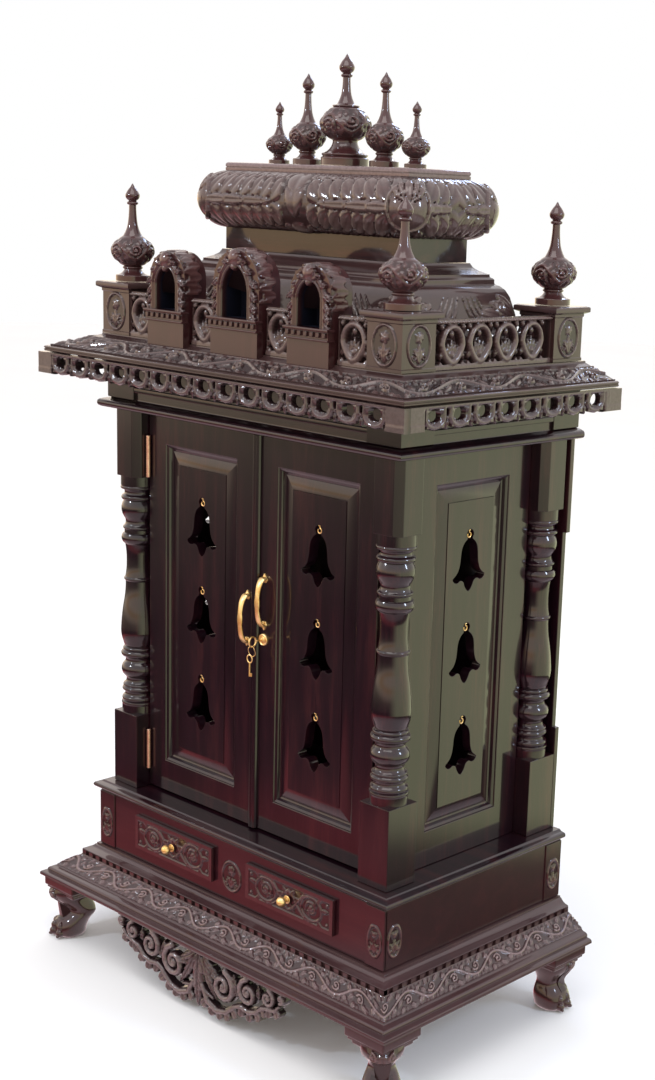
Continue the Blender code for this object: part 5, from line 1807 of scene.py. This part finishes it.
def ringPattern(centres, low, high):
    # rings that narrow downwards, each round a fan of leaves, between a foot rail and a beaded top rail
    halfX, halfY = galleryShape["ring"]
    foot, top = galleryShape["foot"] - galleryShape["middle"], galleryShape["top"] - galleryShape["middle"]
    turns = np.radians(np.arange(0, 361, 12))
    narrow = 1 - .3 * np.clip(-np.sin(turns), 0, 1)

    def pattern(r):
        for x in centres:
            line = np.stack([x + halfX * np.cos(turns) * narrow, halfY * np.sin(turns)], axis=1)
            r.stroke(line, .0062 - .001 * np.sin(turns), 1)
            for k in range(-2, 3):
                r.leaf(x + k * .0013, -.0235, 90 - k * 17, .033 - .0032 * abs(k), .0052, .6)
            r.bead(x, -.015, .0066, .92)
            r.bead(x, .0165, .0052, .62, tall=1.3)
            for sign in (-1, 1):
                r.bead(x + sign * .0245, .0275, .0046, .9)
                r.leaf(x + sign * .0265, -.024, 90 + sign * 12, .019, .0046, .8, teeth=2)
                r.bead(x + sign * .0255, -.029, .0042, .8)
        r.bar(low - 1, high + 1, foot - 1, foot + .0075, .85, .0016)
        r.bar(low - 1, high + 1, top - .008, top + 1, .62, .0014)
        for k in range(int((high - low) / galleryShape["bead"])):
            r.bead(low + .003 + k * galleryShape["bead"], top - .0042, .0028, 1.25)
        r.bar(low - 1, low + .003, -1, 1, .6, .0012)
        r.bar(high - .003, high + 1, -1, 1, .6, .0012)
    return pattern


def makeGallery(name, side, low, high, centres, origin):
    shape = galleryShape
    spans = ((low, high), (shape["foot"] - shape["middle"], shape["top"] - shape["middle"]))
    bm = fretwork(shape, spans, ringPattern(centres, low, high), flatLay(origin, facing[side], up))
    finishPiece(name.replace("_", "") + "Pierced", bm, wood["carvedX" if side == "front" else "carvedY"],
                replaces=name, smooth=60)


def makeGalleries():
    rings, margin, gap, z = (galleryShape[key] for key in ("rings", "margin", "gap", "middle"))
    postX, half = pedestalShape["x"], pedestalShape["half"]
    inner = (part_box("niche_middle")[1][0] + gap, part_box("niche_right")[0][0] - gap)
    outer = (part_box("niche_right")[1][0] + gap, postX - half - gap)
    face = pedestalShape["front"] - half
    for k, (low, high) in enumerate(((-outer[1], -outer[0]), (-inner[1], -inner[0]), inner, outer)):
        makeGallery(f"gallery_front_{k + 1}", "front", low, high, [(low + high) / 2], (0, face, z))
    low, high = pedestalShape["front"] + half + gap, pedestalShape["back"] - half - gap
    step = (high - low - 2 * margin) / rings
    centres = [low + margin + step * (k + .5) for k in range(rings)]
    face = postX + half - .004
    makeGallery("gallery_right", "right", low, high, centres, (face, 0, z))
    makeGallery("gallery_left", "left", -high, -low, [-x for x in reversed(centres)], (-face, 0, z))


makeGalleries()
print("niches and galleries made")


# dome: a sloped base, a neck, a carved cushion, a slab and five finials

domeShape = {
    "x": .2175, "y": .0718, "middle": .0502,
    "base": [
        (.0655, 1.1434), (.0655, 1.148), (.0642, 1.18), (.0602, 1.215), (.0528, 1.243), (.047, 1.254),
        (.04, 1.2605), (.0345, 1.263), (.0338, 1.265), (.0338, 1.27), (.0322, 1.272), (.0286, 1.274),
        (.028, 1.276), (.028, 1.2785), (.024, 1.28), (.015, 1.284), (.008, 1.289), (.0055, 1.2935),
        (.0045, 1.2956)],
    "neck": [(0, 1.2961), (0, 1.3336)],
    "slab": [
        (-.0005, 1.4284), (.0012, 1.429), (.0014, 1.43), (.0014, 1.4338), (.0002, 1.4344), (.0002, 1.4352),
        (.0014, 1.4358), (.0014, 1.4388), (.0005, 1.441), (-.0015, 1.4424), (-.0045, 1.4429)],
    # x, width and height against the corner finials
    "finials": {"1": (-.163, .62, .627), "2": (-.092, .84, .905), "4": (.092, .84, .905),
                "5": (.163, .62, .627)},
}
sprayShape = {
    "band": [(.065, 1.15), (.064, 1.18), (.06, 1.215), (.0526, 1.243), (.047, 1.253)],
    "lengths": {"front": .555, "back": .555, "right": .265, "left": .265},
    "long": .13, "cell": .0019, "relief": .0046,
    # lobes from each corner: distance in from it, height, angle, length, width, bend
    "lobes": [
        (.004, .044, 172, .11, .0115, .04), (.002, .052, 160, .086, .0115, .14),
        (.002, .06, 146, .062, .0105, .2), (.004, .07, 128, .042, .009, .2)],
}
domePlan = {"half": domeShape["x"], "front": domeShape["middle"] - domeShape["y"],
            "back": domeShape["middle"] + domeShape["y"], "backGrows": 1}


def sprayPattern(edge):
    def one(r):
        for x, z, angle, long, wide, bend in sprayShape["lobes"]:
            r.lobe(edge - x, z, angle, long, wide, .92, bend, .5)
        r.curl(edge - .036, .078, .0135, 1.4, 250, .003, hand=-1)
        # fingers that curl upwards at the end of the spray
        for k in range(4):
            foot = edge - .058 - .014 * k, .056 - .001 * k
            r.leaf(*foot, 152 - 3 * k, .05, .0052, .95, bend=-.42, lift=.5)
    return lambda r: r.mirrored(one)


def makeDomeBase():
    spray = sprayShape
    bm = moulded(domePlan, domeShape["base"])
    paint(bm, .4)
    for side, length in spray["lengths"].items():
        lay, run = mitred(side, domePlan, spray["band"], length)
        edge = length / 2
        for low, high in ((-edge, -edge + spray["long"]), (edge - spray["long"], edge)):
            spans = ((low, high), (.001, run))
            join(bm, carve(spans, spray["cell"], sprayPattern(edge), lay, spray["relief"], base=-.0003))
    finishPiece("domeBaseCarved", bm, wood["carvedX"], replaces="dome_base", smooth=38)
    neck = moulded(domePlan, domeShape["neck"])
    finishPiece("domeNeck", neck, wood["x"], replaces="dome_neck")
    slab = moulded(domePlan, domeShape["slab"])
    # the slab takes the lighter copy and a high rise: painted light on its top
    paint(slab, .72)
    finishPiece("domeSlab", slab, wood["paintedLightX"], replaces="dome_slab", smooth=40)


cushionShape = {
    "bulge": .0475, "corner": .02, "relief": .0078, "cell": .0022, "ground": .26, "boss": .0385,
    # one side's spray of leaflets, of pairs, pitch and length, and the scallops on the same side
    "sprays": {-1: (7, .0272, .058), 1: (3, .025, .052)}, "scallops": {-1: 9, 1: 4},
    "ribs": [(.92, .0085), (.6, .01), (.34, .0095)],
}


def cushionPattern(front, corner, height):
    # u runs from the front's middle, v from the foot up; this is one quarter of the pillow
    def spray(r, foot, hand, pairs, step, long):
        # from a corner towards a face's middle: leaflets that flare out on both sides, the nearest on top
        for k in range(pairs - 1, -1, -1):
            x = foot + hand * k * step
            size = 1 - .05 * k
            for sign in (-1, 1):
                angle = 90 - hand * (90 - sign * 36)
                r.lobe(x, height * (.5 + .02 * sign), angle, long * size, .02, 1, hand * sign * .3, .8)
        for k, (share, wide) in enumerate(cushionShape["ribs"]):
            r.lobe(foot - hand * .006, height * .5, 90 - hand * 90, pairs * step * share, wide,
                   .74 + .1 * k, lift=.2)

    def one(r):
        centre = front + corner / 2
        near = r.around(-1, 9, .005, height - .003)
        r.add(near, np.full(len(near), cushionShape["ground"]), np.full(len(near), .01))
        # scallops that hang from the top edge, longest beside the corner, and a row along the foot
        for hand, count in cushionShape["scallops"].items():
            for k in range(count):
                x = centre + hand * (.034 + .025 * k)
                r.lobe(x, -.006, 90 + hand * 20, .044, .0135, .7)
                r.lobe(x, height + .006, 270 - hand * 16, max(.044, .062 - .005 * k), .015, .78)
        # the middle: a broad petal over a plain boss, and a shell at the foot
        r.lobe(0, height * .34, 90, .068, .026, .86, lift=.25)
        r.lobe(0, height + .006, 270, .062, .028, .9, lift=.4)
        r.bead(0, .02, .025, .98, tall=.85)
        for hand, leaflets in cushionShape["sprays"].items():
            spray(r, centre + hand * .026, hand, *leaflets)
        # a round boss on the corner with a rim, and a fan of leaves over it
        radius, level = cushionShape["boss"], height * .51
        near = r.around(centre - .04, centre + .04, level - .04, level + .04)
        away = np.hypot(r.x[near] - centre, r.y[near] - level)
        r.rise[near] = np.where(away < radius, .2 + .62 * rounded(1 - away / radius), r.rise[near])
        r.ring(centre, level, radius, radius, .0034, .92)
        for k in (-2, 2, -1, 1, 0):
            r.lobe(centre, height * .56, 90 + k * 25, .04 - .003 * abs(k), .0085, 1, lift=.3)
    return one


def makeCushion():
    shape = cushionShape
    plan = domeShape
    low, high = levels["cushion"] + .0002, levels["slab"] - .0002
    middle, tall = (low + high) / 2, (high - low) / 2
    bulge = shape["bulge"] - shape["relief"] * .8
    corner = shape["corner"] + .42 * bulge
    front, side = plan["x"] + bulge - corner, plan["y"] + bulge - corner
    arc = corner * math.pi / 2
    quarter = front + arc + side
    height = math.pi * tall

    def lay(u, v, d):
        turn = np.clip(v / height, 0, 1) * math.pi
        out = bulge * np.nan_to_num(np.sin(turn) ** .9) + d * np.sin(turn)
        z = middle - tall * np.cos(turn) - d * np.cos(turn) * .6
        radius = shape["corner"] + .42 * out
        halfX, halfY = plan["x"] + out, plan["y"] + out
        # u is measured from the front's middle, and falls in one of four mirrored quarters
        signX = np.where(u >= 0, 1, -1)
        along = np.abs(u)
        signY = np.where(along <= quarter, -1, 1)
        along = np.where(along <= quarter, along, 2 * quarter - along)
        angle = np.clip((along - front) / arc, 0, 1) * math.pi / 2
        x = np.where(along < front, (halfX - radius) * along / front, halfX - radius + radius * np.sin(angle))
        y = np.where(along < front + arc, halfY - radius + radius * np.cos(angle),
                     (halfY - radius) * (quarter - along) / side)
        return np.stack([signX * x, plan["middle"] + signY * y, z], axis=1)

    def pattern(r):
        around = np.abs(r.x)
        part = Relief(np.where(around <= quarter, around, 2 * quarter - around), r.y)
        cushionPattern(front, arc, height)(part)
        r.rise = part.rise * np.clip(np.minimum(r.y, height - r.y) / .008, 0, 1)

    spans = ((-2 * quarter, 2 * quarter), (0, height))
    bm = carve(spans, shape["cell"], pattern, lay, shape["relief"], base=-.0002, wrap=True)
    bmesh.ops.remove_doubles(bm, verts=bm.verts, dist=.00003)
    bmesh.ops.holes_fill(bm, edges=[edge for edge in bm.edges if edge.is_boundary], sides=0)
    finishPiece("domeCushionCarved", bm, wood["carvedX"], replaces="dome_cushion", smooth=55)


makeDomeBase()
makeCushion()
for number, (x, wide, tall) in domeShape["finials"].items():
    makeFinial(f"finial_top_{number}", x, domeShape["middle"], levels["slabTop"], wide, tall)
makeFinial("finial_top_3", 0, domeShape["middle"], levels["slabTop"], kind="middle")
print("dome made")
